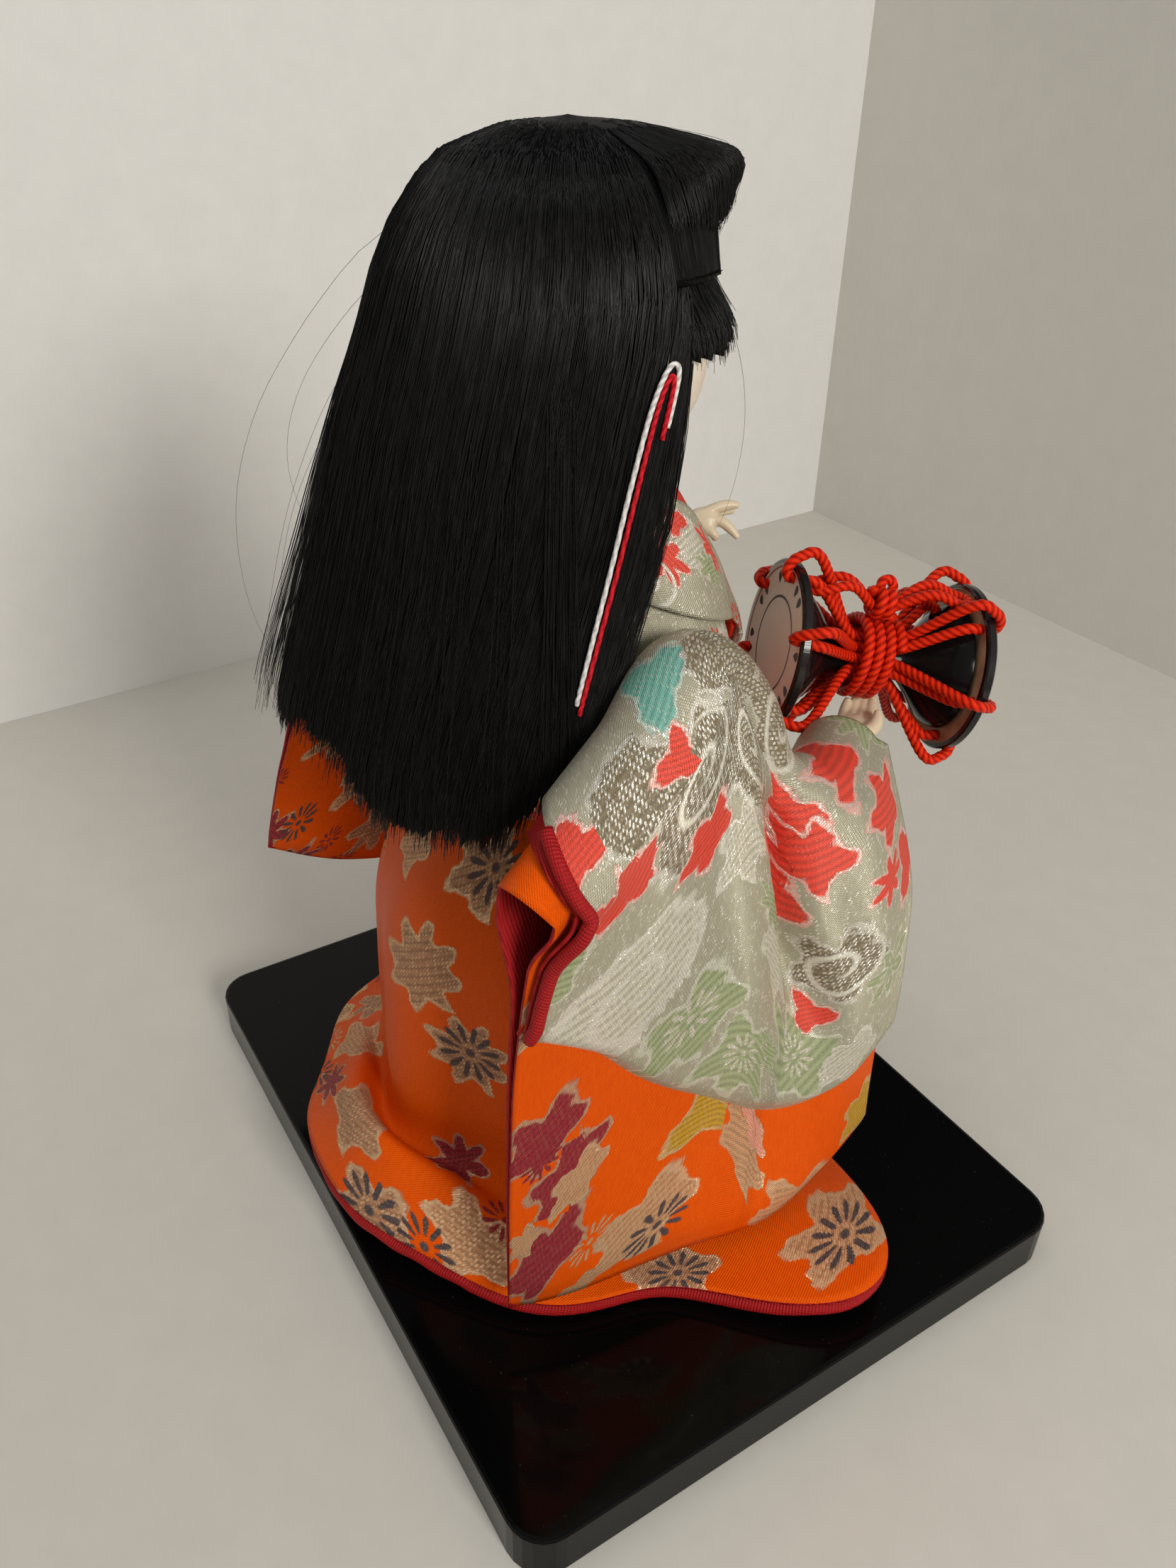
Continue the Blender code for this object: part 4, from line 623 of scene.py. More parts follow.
ORANGE_SLEEVE_UNDER = (
    (5.5, 57.0, 10.0, 10, PLUM, CLOUD), (11.0, 70.0, 10.0, -20, PLUM, CLOUD), (8.0, 86.0, 12.5, 25, PLUM, CLOUD),
    (29.0, 100.0, 11.5, 0, GOLD, CLOUD), (36.0, 83.0, 8.5, 30, MUSTARD, LOBED), (48.5, 85.0, 9.5, 0, GOLD, CLOUD),
    (64.0, 92.0, 11.0, 15, GOLD, CLOUD), (79.5, 78.0, 8.0, 0, MUSTARD, CLOUD), (5.0, 30.0, 8.0, 0, BEIGE, CLOUD),
    (19.0, 106.0, 6.0, 0, GOLD, CLOUD), (30.0, 40.0, 9.0, 0, GOLD, CLOUD), (60.0, 45.0, 9.0, 0, BEIGE, CLOUD),
)
ORANGE_SLEEVE_OVER = (
    (13.5, 74.0, 7.0, 0, GOLD, CLOUD), (19.0, 93.0, 5.0, 0, GOLD, MUM), (32.0, 104.0, 6.4, 0, SLATE, MUM),
    (51.5, 78.0, 5.6, 20, PINK, (5, 0.35, 0)), (3.0, 78.0, 4.6, 0, GOLD, (5, 0.35, 0)), (5.0, 30.0, 5.0, 0, SLATE, MUM),
    (80.0, 95.0, 5.5, 0, SLATE, MUM), (60.0, 45.0, 5.0, 0, SLATE, MUM), (5.5, 62.0, 4.4, 0, PLUM, MUM),
)
SKIRT_UNDER = (
    (65.0, 34.0, 10.5, 0, BEIGE, (8, 0.28, 0)), (75.5, 48.5, 9.5, 20, BEIGE, (8, 0.28, 0)), (73.5, 12.5, 10.0, 0, BEIGE, CLOUD),
    (45.0, 91.0, 6.0, 0, PLUM, SPRAY), (57.0, 88.0, 9.0, 15, BEIGE, CLOUD), (73.0, 77.0, 7.5, 0, PLUM, SPRAY),
    (67.0, 100.0, 9.0, 0, BEIGE, CLOUD), (80.0, 90.0, 8.5, 30, GOLD, CLOUD), (92.0, 80.0, 7.0, 0, PLUM, SPRAY),
    (125.0, 104.0, 9.0, 0, GOLD, CLOUD), (106.0, 96.0, 7.5, 0, BEIGE, CLOUD), (48.0, 60.0, 8.0, 0, BEIGE, CLOUD),
    (52.0, 15.0, 8.0, 0, GOLD, CLOUD), (95.0, 40.0, 9.0, 0, BEIGE, CLOUD),
)
SKIRT_OVER = (
    (75.5, 48.0, 7.4, 10, SLATE, MUM), (76.0, 11.5, 7.6, 0, SLATE, MUM), (39.5, 94.0, 4.5, 0, SLATE, MUM),
    (66.0, 99.0, 6.6, 0, SLATE, MUM), (74.5, 96.5, 5.4, 15, SLATE, MUM), (125.0, 105.0, 6.0, 0, SLATE, MUM),
    (84.0, 84.0, 4.5, 0, PLUM, MUM), (107.0, 96.0, 4.6, 0, SLATE, MUM), (48.0, 60.0, 5.0, 0, SLATE, MUM),
    (95.0, 40.0, 5.6, 0, SLATE, MUM),
)


# The figure's outer surfaces, after the solids

TORSO_LEVELS = (
    (0.60, 0.90, 0.92, 0.03),
    (0.68, 0.90, 0.93, 0.10),
    (0.76, 0.96, 0.98, 0.19),
    (0.84, 1.00, 0.97, 0.23),
    (0.91, 0.96, 0.82, 0.20),
    (0.96, 0.79, 0.65, 0.14),
    (1.00, 0.46, 0.46, 0.08),
    (1.04, 0.38, 0.40, 0.06),
)
CHEST = 0.026
CORE_TOP, OVER_CORE = COLLAR * 0.93, -0.0042


def torso(angle, height, out):
    """Points that far outside the jacket's outer face."""
    wide, deep, ahead = columns(TORSO_LEVELS, height / COLLAR)
    c, s = np.cos(angle), np.sin(angle)
    away = unit(np.stack(np.broadcast_arrays(c / wide, s / deep), -1))
    drawn_in = 0.0042 * np.exp(-(((from_front(angle) - 32.0) / 22.0) ** 2)) * ease((height - 0.104) / 0.008)
    out = np.maximum(out - drawn_in, np.minimum(out, OVER_CORE))
    x = AXIS[0] + CHEST * wide * c + away[..., 0] * out
    y = AXIS[1] + CHEST * (deep * s - ahead) + away[..., 1] * out
    return np.stack(np.broadcast_arrays(x, y, height + BOARD_TOP), -1)


def from_front(angle):
    return np.abs((np.degrees(angle) + 270.0) % 360.0 - 180.0)


def collar_dip(angle):
    return (1.0 - np.minimum(from_front(angle) / 112.0, 1.0)) ** 0.9


def collar_edge(angle):
    return COLLAR + 0.0005 - 0.0178 * collar_dip(angle)


SKIRT_PROFILE = (
    (0.00, 0.00, 0.00, 0.958),
    (0.10, 0.06, 0.00, 0.915),
    (0.20, 0.34, 0.00, 0.860),
    (0.32, 0.70, 0.00, 0.740),
    (0.45, 0.94, 0.00, 0.580),
    (0.58, 1.00, 0.00, 0.400),
    (0.69, 1.00, 0.03, 0.240),
    (0.78, 1.00, 0.11, 0.120),
    (0.86, 1.00, 0.31, 0.050),
    (0.93, 1.00, 0.65, 0.020),
    (1.00, 1.00, 1.00, 0.010),
)
HEM_ROLL = 0.0016


def skirt(angle, share, out=0.0):
    degrees = np.degrees(angle)
    column, flare, up = columns(SKIRT_PROFILE, share)
    s = np.sin(angle)
    rear, front = np.maximum(s, 0) ** 2, np.maximum(-s, 0) ** 2
    reach = rear * 0.0525 + front * 0.046 + (1 - rear - front) * 0.053
    reach = reach + 0.0245 * bump(degrees, 196.0, 19.0) + 0.014 * bump(degrees, 342.0, 22.0)
    reach = reach + 0.0015 * bump(degrees, 122.0, 22.0) - 0.0035 * bump(degrees, 50.0, 15.0) + 0.0028 * bump(degrees, 77.0, 12.0)
    ripple = np.cos(7 * angle + 0.7) + 0.5 * np.cos(3.0 * angle - 0.9)
    radius = 0.037 + flare * (reach - 0.037) + 0.0016 * ripple * ease(share * 1.5) + out
    lift = 0.0045 * (bump(degrees, 80.0, 45.0) + 0.9 * bump(degrees, 200.0, 16.0) + 0.5 * bump(degrees, 340.0, 18.0))
    pile = 0.013 * bump(degrees, 95.0, 42.0) * np.exp(-(((share - 0.89) / 0.07) ** 2))
    height = REST_GAP + 2 * HEM_ROLL + up * WAIST + lift * ease((share - 0.78) / 0.22) + pile
    wide = np.stack(np.broadcast_arrays(AXIS[0] + np.cos(angle) * radius, AXIS[1] + s * radius, height + BOARD_TOP), -1)
    narrow = torso(angle, np.full(np.shape(angle), WAIST), -LAYER - FIT_GAP)
    narrow = np.broadcast_to(narrow, wide.shape).copy()
    narrow[..., 2] = wide[..., 2]
    return narrow + (wide - narrow) * column[..., None]


def round_angles(count):
    return np.arange(count) * math.tau / count


# Robe: skirt with its train, hem roll, bodice, sash, jacket and collars

angles, shares = np.meshgrid(round_angles(240), np.linspace(0, 1, 72), indexing="ij")
cloth = ripples(np.degrees(angles) * 0.6, shares * 60.0, 4, 9.0) * 0.0005 * ease(shares * 2.0)
sag = -0.0011 * np.exp(-(((shares - 0.74) / 0.05) ** 2)) * (1.0 + 0.6 * np.cos(3 * angles))
skirt_grid = skirt(angles, shares, cloth + sag)
skirt_figures = arranged(orange_figures(360, 150, 5), (SKIRT_UNDER, SKIRT_OVER), (36.0, 138.0, -20.0, 150.0))
sheet_piece("brocade_skirt", skirt_grid, "doll", [orange_brocade, crimson_cloth], ["skirt"], closed=True, flip=True, figures=skirt_figures, inner=1)


def tube_mesh(name, points, radius, sides=12, closed=False, plies=0, lay=5.0, squash=1.0):
    """A round or laid cord along the points, with coordinates along and round it. Plies twist round it."""
    points = np.asarray(points, float)
    count = len(points)
    if closed:
        ahead = unit(np.roll(points, -1, 0) - np.roll(points, 1, 0))
    else:
        ahead = unit(np.gradient(points, axis=0))
    side = [unit(np.cross(ahead[0], (0.3, 0.2, 0.9)))]
    for direction in ahead[1:]:
        last = side[-1] - direction * np.dot(side[-1], direction)
        side.append(last / np.linalg.norm(last))
    side = np.array(side)
    up = np.cross(ahead, side)
    steps = np.linalg.norm(np.diff(points, axis=0), axis=1)
    far = np.concatenate([[0], np.cumsum(steps)])
    if closed:
        left = math.atan2(np.dot(np.cross(side[-1], side[0]), ahead[0]), np.dot(side[-1], side[0]))
    else:
        left = 0.0
    spin = far / far[-1] * left
    if plies:
        turns = far[-1] / (2 * radius * lay)
        if closed:
            turns = round(turns * plies) / plies
        twist = far / far[-1] * turns * math.tau
    else:
        twist = np.zeros(count)
    around = round_angles(sides)
    turn = around[None] + spin[:, None]
    lobe = np.cos(plies * (around[None] - twist[:, None])) if plies else np.ones((count, sides))
    reach = radius * (1.0 - 0.17 * (1 - np.sqrt(np.clip((lobe + 1) / 2, 0, 1))) * (1 if plies else 0))
    ring = points[:, None] + reach[..., None] * (side[:, None] * np.cos(turn)[..., None] + up[:, None] * np.sin(turn)[..., None] * squash)
    mesh = bpy.data.meshes.new(name)
    rows = count if closed else count - 1
    i, j = np.meshgrid(np.arange(rows), np.arange(sides), indexing="ij")
    i, j = i.ravel(), j.ravel()
    k, m = (i + 1) % count, (j + 1) % sides
    faces = np.stack([i * sides + j, i * sides + m, k * sides + m, k * sides + j], -1).tolist()
    if not closed:
        faces += [list(range(sides))[::-1], list(range((count - 1) * sides, count * sides))]
    mesh.from_pydata(ring.reshape(-1, 3).tolist(), [], faces)
    high = (lobe + 1) / 2
    quads = []
    for a, b, c in ((i, j, 0), (i, m, 1), (k, m, 1), (k, j, 0)):
        quads.append(np.stack([far[a] * 1000, high[a, b]], -1))
    ply = np.stack(quads, 1).reshape(-1, 2)
    rest = len(mesh.loops) - len(ply)
    ply = np.concatenate([ply, np.full((rest, 2), 0.5)])
    mesh.uv_layers.new(name="ply").data.foreach_set("uv", ply.reshape(-1).astype(np.float32))
    flat = np.stack([np.stack([far[a] + (far[-1] / rows) * (1 if e else 0) * 0, (b + c) / sides * math.tau * radius], -1) for a, b, c, e in ((i, j, 0, 0), (i, j, 1, 0), (k, j, 1, 1), (k, j, 0, 1))], 1).reshape(-1, 2)
    flat = np.concatenate([flat, np.zeros((rest, 2))])
    mesh.uv_layers.new(name="cloth").data.foreach_set("uv", flat.reshape(-1).astype(np.float32))
    return bpy.data.objects.new(name, mesh)


turn = round_angles(300)
lip = skirt(turn, np.ones(300))
inward = unit(np.concatenate([AXIS - lip[:, :2], np.zeros((300, 1))], 1))
hem_line = lip + inward * HEM_ROLL * 0.9 - np.array((0, 0, HEM_ROLL + CLOTH + REST_GAP * 0.5))
hem_line[:, 2] += 0.00025 * np.sin(turn * 37) * (hem_line[:, 2] > 0.0135)
roll = finish_piece(tube_mesh("padded_hem", hem_line, HEM_ROLL * 0.98, 14, closed=True), "doll", crimson_cloth)
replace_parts(roll, "hem_roll")


def band(name, top, low, out, finish, slot, replaced, count=200, levels=14, figures=None, wave=0.0, body="doll", wall=0.0006, inner=0):
    turn = round_angles(count)
    share = np.linspace(0, 1, levels)
    angle = np.broadcast_to(turn[:, None], (count, levels))
    height = mix(top(turn)[:, None], low(turn)[:, None], share[None])
    drift = ripples(np.degrees(angle) * 0.5, height * 1000, 4, 5.0) * wave
    return sheet_piece(name, torso(angle, height, out + drift), body, finish, replaced, closed=True, flip=True, figures=figures, wall=wall, inner=inner)


OBI_LOW, OBI_HIGH = WAIST * 1.012, WAIST * 1.012 + 0.019
JACKET_OPEN = 58.0
top_edge = lambda a: np.minimum(COLLAR * 0.945, collar_edge(a) - 0.0014 - 2 * FIT_GAP)  # noqa: E731
jacket_low = lambda a: mix(OBI_HIGH, WAIST * 0.985, ease((from_front(a) - 35.0) / 30.0))  # noqa: E731
level = lambda height: lambda a: np.full(np.shape(a), height)  # noqa: E731
around = np.radians(np.linspace(270.0 + JACKET_OPEN, 630.0 - JACKET_OPEN, 220))[:, None]
drop = mix(top_edge(around), jacket_low(around), np.linspace(0, 1, 30)[None])
drift = ripples(np.degrees(around) * 0.5, drop * 1000, 4, 5.0) * 0.0002
jacket_grid = torso(np.broadcast_to(around, drop.shape), drop, drift)
sheet_piece("brocade_jacket", jacket_grid, "doll", [green_brocade, crimson_cloth], ["jacket_body"], flip=True, figures=green_figures(170, 50, 21), inner=1)
band("under_bodice", top_edge, level(OBI_LOW + FIT_GAP), -LAYER - 0.0012 - FIT_GAP, orange_brocade, "orange_brocade", ["kimono_bodice"], 160, 16, orange_figures(150, 50, 31))
band("brocade_sash", level(OBI_HIGH), level(OBI_LOW), -LAYER, orange_brocade, "orange_brocade", ["obi"], 200, 16, orange_figures(160, 30, 41), wall=0.0011)
# How far the collar stands above the solid's edge, and its reach from the axis, by degrees from the front
COLLAR_STAND = (
    (0, -0.0100, 0.0318),
    (12, -0.0074, 0.0300),
    (28, 0.0017, 0.0250),
    (45, 0.0077, 0.0216),
    (65, 0.0126, 0.0197),
    (90, 0.0116, 0.0182),
    (112, 0.0085, 0.0170),
    (180, 0.0085, 0.0166),
)


def collar_grid(above, below, out, levels, count=220):
    """The standing collar from above its edge to that far below it, or down to the jacket."""
    turn = round_angles(count)
    rise, reach = columns(COLLAR_STAND, from_front(turn))
    foot = torso(turn, np.minimum(collar_edge(turn) - 0.0060, collar_edge(turn) + rise - 0.0095), out)
    top_edge = np.stack([AXIS[0] + np.cos(turn) * (reach + out), AXIS[1] + np.sin(turn) * (reach + out), collar_edge(turn) + rise + BOARD_TOP], -1)
    length = np.linalg.norm(foot - top_edge, axis=1)[:, None]
    far = mix(-above, length if below is None else below, np.linspace(0, 1, levels)[None])
    outward = np.stack([np.cos(turn), np.sin(turn), np.zeros(count)], -1)[:, None]
    bow = 0.0005 * np.sin(math.pi * np.clip(far / length, 0, 1))
    drift = ripples(np.degrees(turn)[:, None] * 0.5, far * 1000, 3, 6.0) * 0.00015
    return top_edge[:, None] + (foot - top_edge)[:, None] / length[..., None] * far[..., None] + outward * (bow + drift)[..., None]


crimson_satin = brocade("crimson_gilt_edge", (0.42, 0.010, 0.006), (0.72, 0.035, 0.012), (0.90, 0.78, 0.56), 0.5, -0.06, 0.32, 0.5, (1.0, 0.5, 0.4))
COLLAR_UNDER = ((64.0, 1.0, 7.5, 20, LEAF, SPRAY), (66.0, 9.5, 6.5, 80, VERMILION, SPRAY), (73.0, 8.0, 6.5, 0, SILVER, CLOUD), (58.0, 9.0, 6.0, 0, VERMILION, SPRAY), (80.0, 6.0, 6.0, 0, VERMILION, SPRAY))
COLLAR_OVER = ((71.0, 3.5, 4.0, 0, VERMILION, LOBED), (62.0, 14.0, 5.0, 0, SILVER, VINE), (76.0, 11.0, 4.4, 0, LEAF, SPRAY))
for name, out, above, below, levels, finish, slot, node, wall, figures in (
    ("green_collar", 2 * FIT_GAP + CLOTH, 0.0, None, 22, green_brocade, "green_brocade", "jacket_collar", 0.0008, arranged(green_figures(130, 24, 51), (COLLAR_UNDER, COLLAR_OVER), (50.0, 84.0, -20.0, 30.0))),
    ("crimson_collar_edge", 0.0003, 0.0036, 0.0080, 10, crimson_satin, "crimson_lining", "crimson_collar", 0.0008, orange_figures(130, 14, 55)),
    ("pale_collar_edge", -LAYER, 0.0012, 0.0080, 8, white_cloth, "white_silk", "white_collar", 0.0010, None),
):
    sheet_piece(name, collar_grid(above, below, out, levels), "doll", finish, [node], closed=True, flip=True, figures=figures, wall=wall)
# The pale robe under the others, from the neck over the body core's top and down its chest
neck_turn = round_angles(160)
neck_ring = np.stack([AXIS[0] + 0.0066 * np.cos(neck_turn), AXIS[1] + 0.0066 * np.sin(neck_turn), np.full(160, BOARD_TOP + CORE_TOP + 0.0010)], -1)
shoulder_ring = torso(neck_turn, np.full(160, CORE_TOP), OVER_CORE + 0.0004) + np.array((0, 0, 0.0007))
over_top = mix(neck_ring[:, None], shoulder_ring[:, None], np.linspace(0, 1, 8)[None, :, None])
down_chest = torso(neck_turn[:, None], np.linspace(CORE_TOP - 0.0004, 0.103, 12)[None] + np.zeros((160, 1)), OVER_CORE)
sheet_piece("inner_pale_robe", np.concatenate([over_top, down_chest], axis=1), "doll", white_cloth, [], closed=True, flip=True, wall=0.0004)
sash_line = torso(np.radians(270.0 + 36.0 * np.linspace(-1, 1, 60)), np.full(60, OBI_LOW + 0.0095), 0.0009 + FIT_GAP - LAYER)
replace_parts(finish_piece(tube_mesh("sash_cord", sash_line, 0.0009, 18, plies=3), "doll", vermilion_cord), "obi_cord")

# Sleeves

RIGHT_SLEEVE = (
    ((-0.90, 0.66, -0.44), (-0.80, 0.24, -0.16), (-0.69, -0.04, -0.02), (-0.82, -0.28, -0.40), (-0.79, -0.48, -0.51), (-0.62, -0.74, -0.53)),
    ((-0.88, 0.70, -0.88), (-0.86, 0.30, -0.76), (-0.88, -0.04, -0.72), (-0.90, -0.28, -0.88), (-0.92, -0.50, -0.92), (-0.88, -0.72, -0.92)),
    ((-0.90, 0.74, -1.52), (-0.92, 0.38, -1.48), (-0.95, 0.00, -1.48), (-0.98, -0.26, -1.52), (-1.00, -0.48, -1.52), (-0.98, -0.70, -1.42)),
    ((-0.92, 0.76, -2.12), (-0.99, 0.52, -2.11), (-1.04, 0.14, -2.11), (-1.09, -0.20, -2.11), (-1.06, -0.48, -2.08), (-1.03, -0.68, -1.97)),
)
LEFT_SLEEVE = (
    ((0.92, 0.60, -0.56), (0.80, 0.22, -0.24), (0.70, -0.04, -0.04), (0.83, -0.30, -0.25), (0.74, -0.46, -0.21), (0.57, -0.61, -0.13)),
    ((0.96, 0.68, -0.80), (0.92, 0.30, -0.72), (0.88, -0.04, -0.68), (0.92, -0.28, -0.72), (0.88, -0.48, -0.72), (0.78, -0.64, -0.64)),
    ((1.00, 0.76, -1.08), (0.96, 0.42, -1.12), (0.94, 0.04, -1.16), (0.96, -0.26, -1.16), (0.92, -0.46, -1.12), (0.84, -0.64, -1.00)),
    ((1.04, 0.82, -1.38), (1.00, 0.52, -1.52), (0.98, 0.14, -1.60), (0.98, -0.20, -1.60), (0.94, -0.44, -1.56), (0.88, -0.62, -1.40)),
)
SLEEVE_ROOT = np.array((AXIS[0], AXIS[1], BOARD_TOP + SHOULDER))
SLEEVE_REACH = 0.050
GREEN_DROP = (0.31, 0.55, 0.69, 0.74, 0.74, 0.71)
LAYER_START = (0.0, 0.035, 0.045)


def sleeve_grid(side, shares, layer, extra=0.0, count=72, levels=34, roof=15, start=None, foot_closed=True):
    """An upside-down U of cloth over the arm, drawn together at its foot."""
    rows = np.array(shares) * SLEEVE_REACH + SLEEVE_ROOT
    along = np.linspace(LAYER_START[layer] if start is None else start, 1.0, count)
    lines = np.stack([through(row, along) for row in rows])
    drop = through(np.array(GREEN_DROP)[:, None], along)[:, 0] if layer else np.ones(count)
    share = np.linspace(0, 1, levels)
    middle = np.empty((count, levels, 3))
    level = drop[:, None] * share[None]
    slant = np.where(along < LAYER_START[layer] + 0.10, 1 - (along - LAYER_START[layer]) / 0.10, 0.0) * (0.04 if layer else 0.0)
    for i in range(count):
        for_level = along[i] - slant[i] * share
        base = np.stack([through(row, for_level) for row in rows])
        middle[i] = np.array([through(base[:, j], level[i, j : j + 1])[0] for j in range(levels)])
    ahead, down = np.gradient(middle, axis=0), np.gradient(middle, axis=1)
    away = unit(np.cross(ahead, down)) * side
    reach = 0.0050 + layer * LAYER + extra
    foot = 0.0022 + layer * LAYER + extra
    half = mix(reach, foot, ease((level - 0.15) * 1.6))
    if foot_closed:
        half = half * (1 - ease((share[None] - 0.90) / 0.10)) + 0.0006 + 0.35 * layer * MM
    place = along[:, None]
    depth = mix(0.60, 1.0, ease((level - 0.06) / 0.12)) * (1.0 - ease((level - 0.32) / 0.26))
    crease = 0.575 + 0.34 * np.maximum(level - 0.26, 0.0) - 0.05 * ease(level / 0.2)
    fold = 0.0050 * depth * np.exp(-(((place - crease) / 0.085) ** 2))
    sharp = 0.0030 * depth * np.exp(-(((place - crease) / 0.026) ** 2))
    full = 0.0024 * np.sin(math.pi * np.clip(share[None] * 1.05, 0, 1)) * (np.exp(-(((place - 0.36) / 0.11) ** 2)) + 1.1 * np.exp(-(((place - 0.80) / 0.11) ** 2)))
    rays = 0.0009 * np.sin((place - crease) * 40.0 - level * 9.0) * np.exp(-(((place - crease) / 0.22) ** 2)) * np.sin(math.pi * np.clip(level * 1.7, 0, 1))
    small = ripples(place * 80.0, level * 100.0, 4, 7.0) * 0.00035 * ease(share[None] * 4)
    pressed = 0.62 * (half - layer * LAYER) * np.exp(-(((place - along[0]) / 0.07) ** 2)) * ease((level - 0.04) / 0.15)
    outside = middle + away * (half - pressed - fold - sharp + full + rays + small)[..., None]
    drawn = 1.0 if layer else 1.0 - 0.85 * np.exp(-(((place - along[0]) / 0.09) ** 2)) * ease((level - 0.10) / 0.2)
    within = middle - away * (half * drawn + fold * 0.6 - small * 0.6)[..., None]
    first = unit(ahead[:, 0])
    up = np.cross(away[:, 0], first) * -side
    turns = np.linspace(-math.pi / 2, math.pi / 2, roof + 2)[1:-1]
    dip = 0.0026 * np.exp(-(((along - 0.56) / 0.05) ** 2))
    arch = middle[:, :1] + (away[:, :1] * np.sin(turns)[None, :, None] + up[:, None] * np.cos(turns)[None, :, None]) * (reach - dip[:, None, None] * 0.9)
    grid = np.concatenate([within[:, ::-1], arch, outside], axis=1)
    if not layer:
        return grid
    # Both green layers start further along on the body's side, so that their rear edge slants
    held = np.concatenate([np.ones(levels), 0.5 - 0.5 * np.sin(turns), np.zeros(levels)])
    row = np.arange(count)[:, None]
    row = row + (count - 1) * (0.05 if layer == 1 else 0.08) * held[None] * (1.0 - row / (count - 1)) ** 3
    low = np.minimum(row.astype(int), count - 2)
    column = np.arange(grid.shape[1])[None]
    return grid[low, column] + (grid[low + 1, column] - grid[low, column]) * (row - low)[..., None]


for side, label, shares in ((-1, "right", RIGHT_SLEEVE), (1, "left", LEFT_SLEEVE)):
    middle = 34 + 7
    flip = side < 0
    visible = (-20.0, 100.0, -12.0, 130.0)
    orange_layers = arranged(orange_figures(190, 230, 61 + side, (-10, -115)), (ORANGE_SLEEVE_UNDER, ORANGE_SLEEVE_OVER), visible)
    green_layers = arranged(green_figures(190, 170, 81 + side, (-10, -85)), (GREEN_SLEEVE_UNDER, GREEN_SLEEVE_OVER), visible)
    inner_grid = sleeve_grid(side, shares, 0)
    sheet_piece(label + "_orange_sleeve", inner_grid, "doll", [orange_brocade, crimson_cloth], [label + "_inner_sleeve"], flip=flip, middle=middle, figures=orange_layers, inner=1)
    lining_grid = sleeve_grid(side, shares, 1)
    sheet_piece(label + "_crimson_lining", lining_grid, "doll", crimson_cloth, [label + "_sleeve_lining"], flip=flip, middle=middle)
    outer_grid = sleeve_grid(side, shares, 2)
    sheet_piece(label + "_green_sleeve", outer_grid, "doll", green_brocade, [label + "_outer_sleeve"], flip=flip, middle=middle, figures=green_layers)
    edge = outer_grid[0][middle:]
    piping = finish_piece(tube_mesh(label + "_sleeve_piping", through(edge[::3], np.linspace(0, 1, 60)), 0.0011, 12), "doll", crimson_cloth)

# Arms inside the sleeves, and the hands

RIGHT_ARM = ((0.00, -0.08, -0.12), (-0.28, -0.02, -0.10), (-0.56, -0.02, -0.14), (-0.74, -0.10, -0.26), (-0.84, -0.28, -0.46), (-0.78, -0.50, -0.55), (-0.66, -0.70, -0.57), (-0.53, -0.87, -0.58))
LEFT_ARM = ((0.00, -0.08, -0.12), (0.28, -0.02, -0.10), (0.56, -0.02, -0.14), (0.76, -0.12, -0.24), (0.82, -0.30, -0.28), (0.72, -0.46, -0.22), (0.57, -0.60, -0.12), (0.42, -0.72, -0.05))
padding = simple_grain("wound_cotton", (0.56, 0.52, 0.44), (0.80, 0.77, 0.70), 0.95, 700.0, (1, 1, 1), 0.0004)
for label, shares in (("right", RIGHT_ARM), ("left", LEFT_ARM)):
    line = through(np.array(shares) * SLEEVE_REACH + SLEEVE_ROOT, np.linspace(0.22, 0.86, 48))
    arm = finish_piece(tube_mesh(label + "_arm_wrapping", line, 0.0018, 16), "doll", padding)
    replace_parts(arm, label + "_arm_pad")


def tapered(points, wide, thick, sides=12):
    """Points and faces of a closed tapering limb along the points, in the hand's own frame."""
    line = through(points, np.linspace(0, 1, 14))
    half_wide = through(np.array(wide)[:, None], np.linspace(0, 1, 14))
    half_thick = through(np.array(thick)[:, None], np.linspace(0, 1, 14))
    ahead = unit(np.gradient(line, axis=0))
    lateral = unit(np.cross(ahead, (0.0, 0.0, 1.0)))
    above = np.cross(lateral, ahead)
    turn = round_angles(sides)
    rings = line[:, None] + lateral[:, None] * np.cos(turn)[None, :, None] * half_wide[:, None] + above[:, None] * np.sin(turn)[None, :, None] * half_thick[:, None]
    faces = [[i * sides + j, (i + 1) * sides + j, (i + 1) * sides + (j + 1) % sides, i * sides + (j + 1) % sides] for i in range(13) for j in range(sides)]
    faces += [list(range(sides)), list(range(13 * sides, 14 * sides))[::-1]]
    return rings.reshape(-1, 3), faces


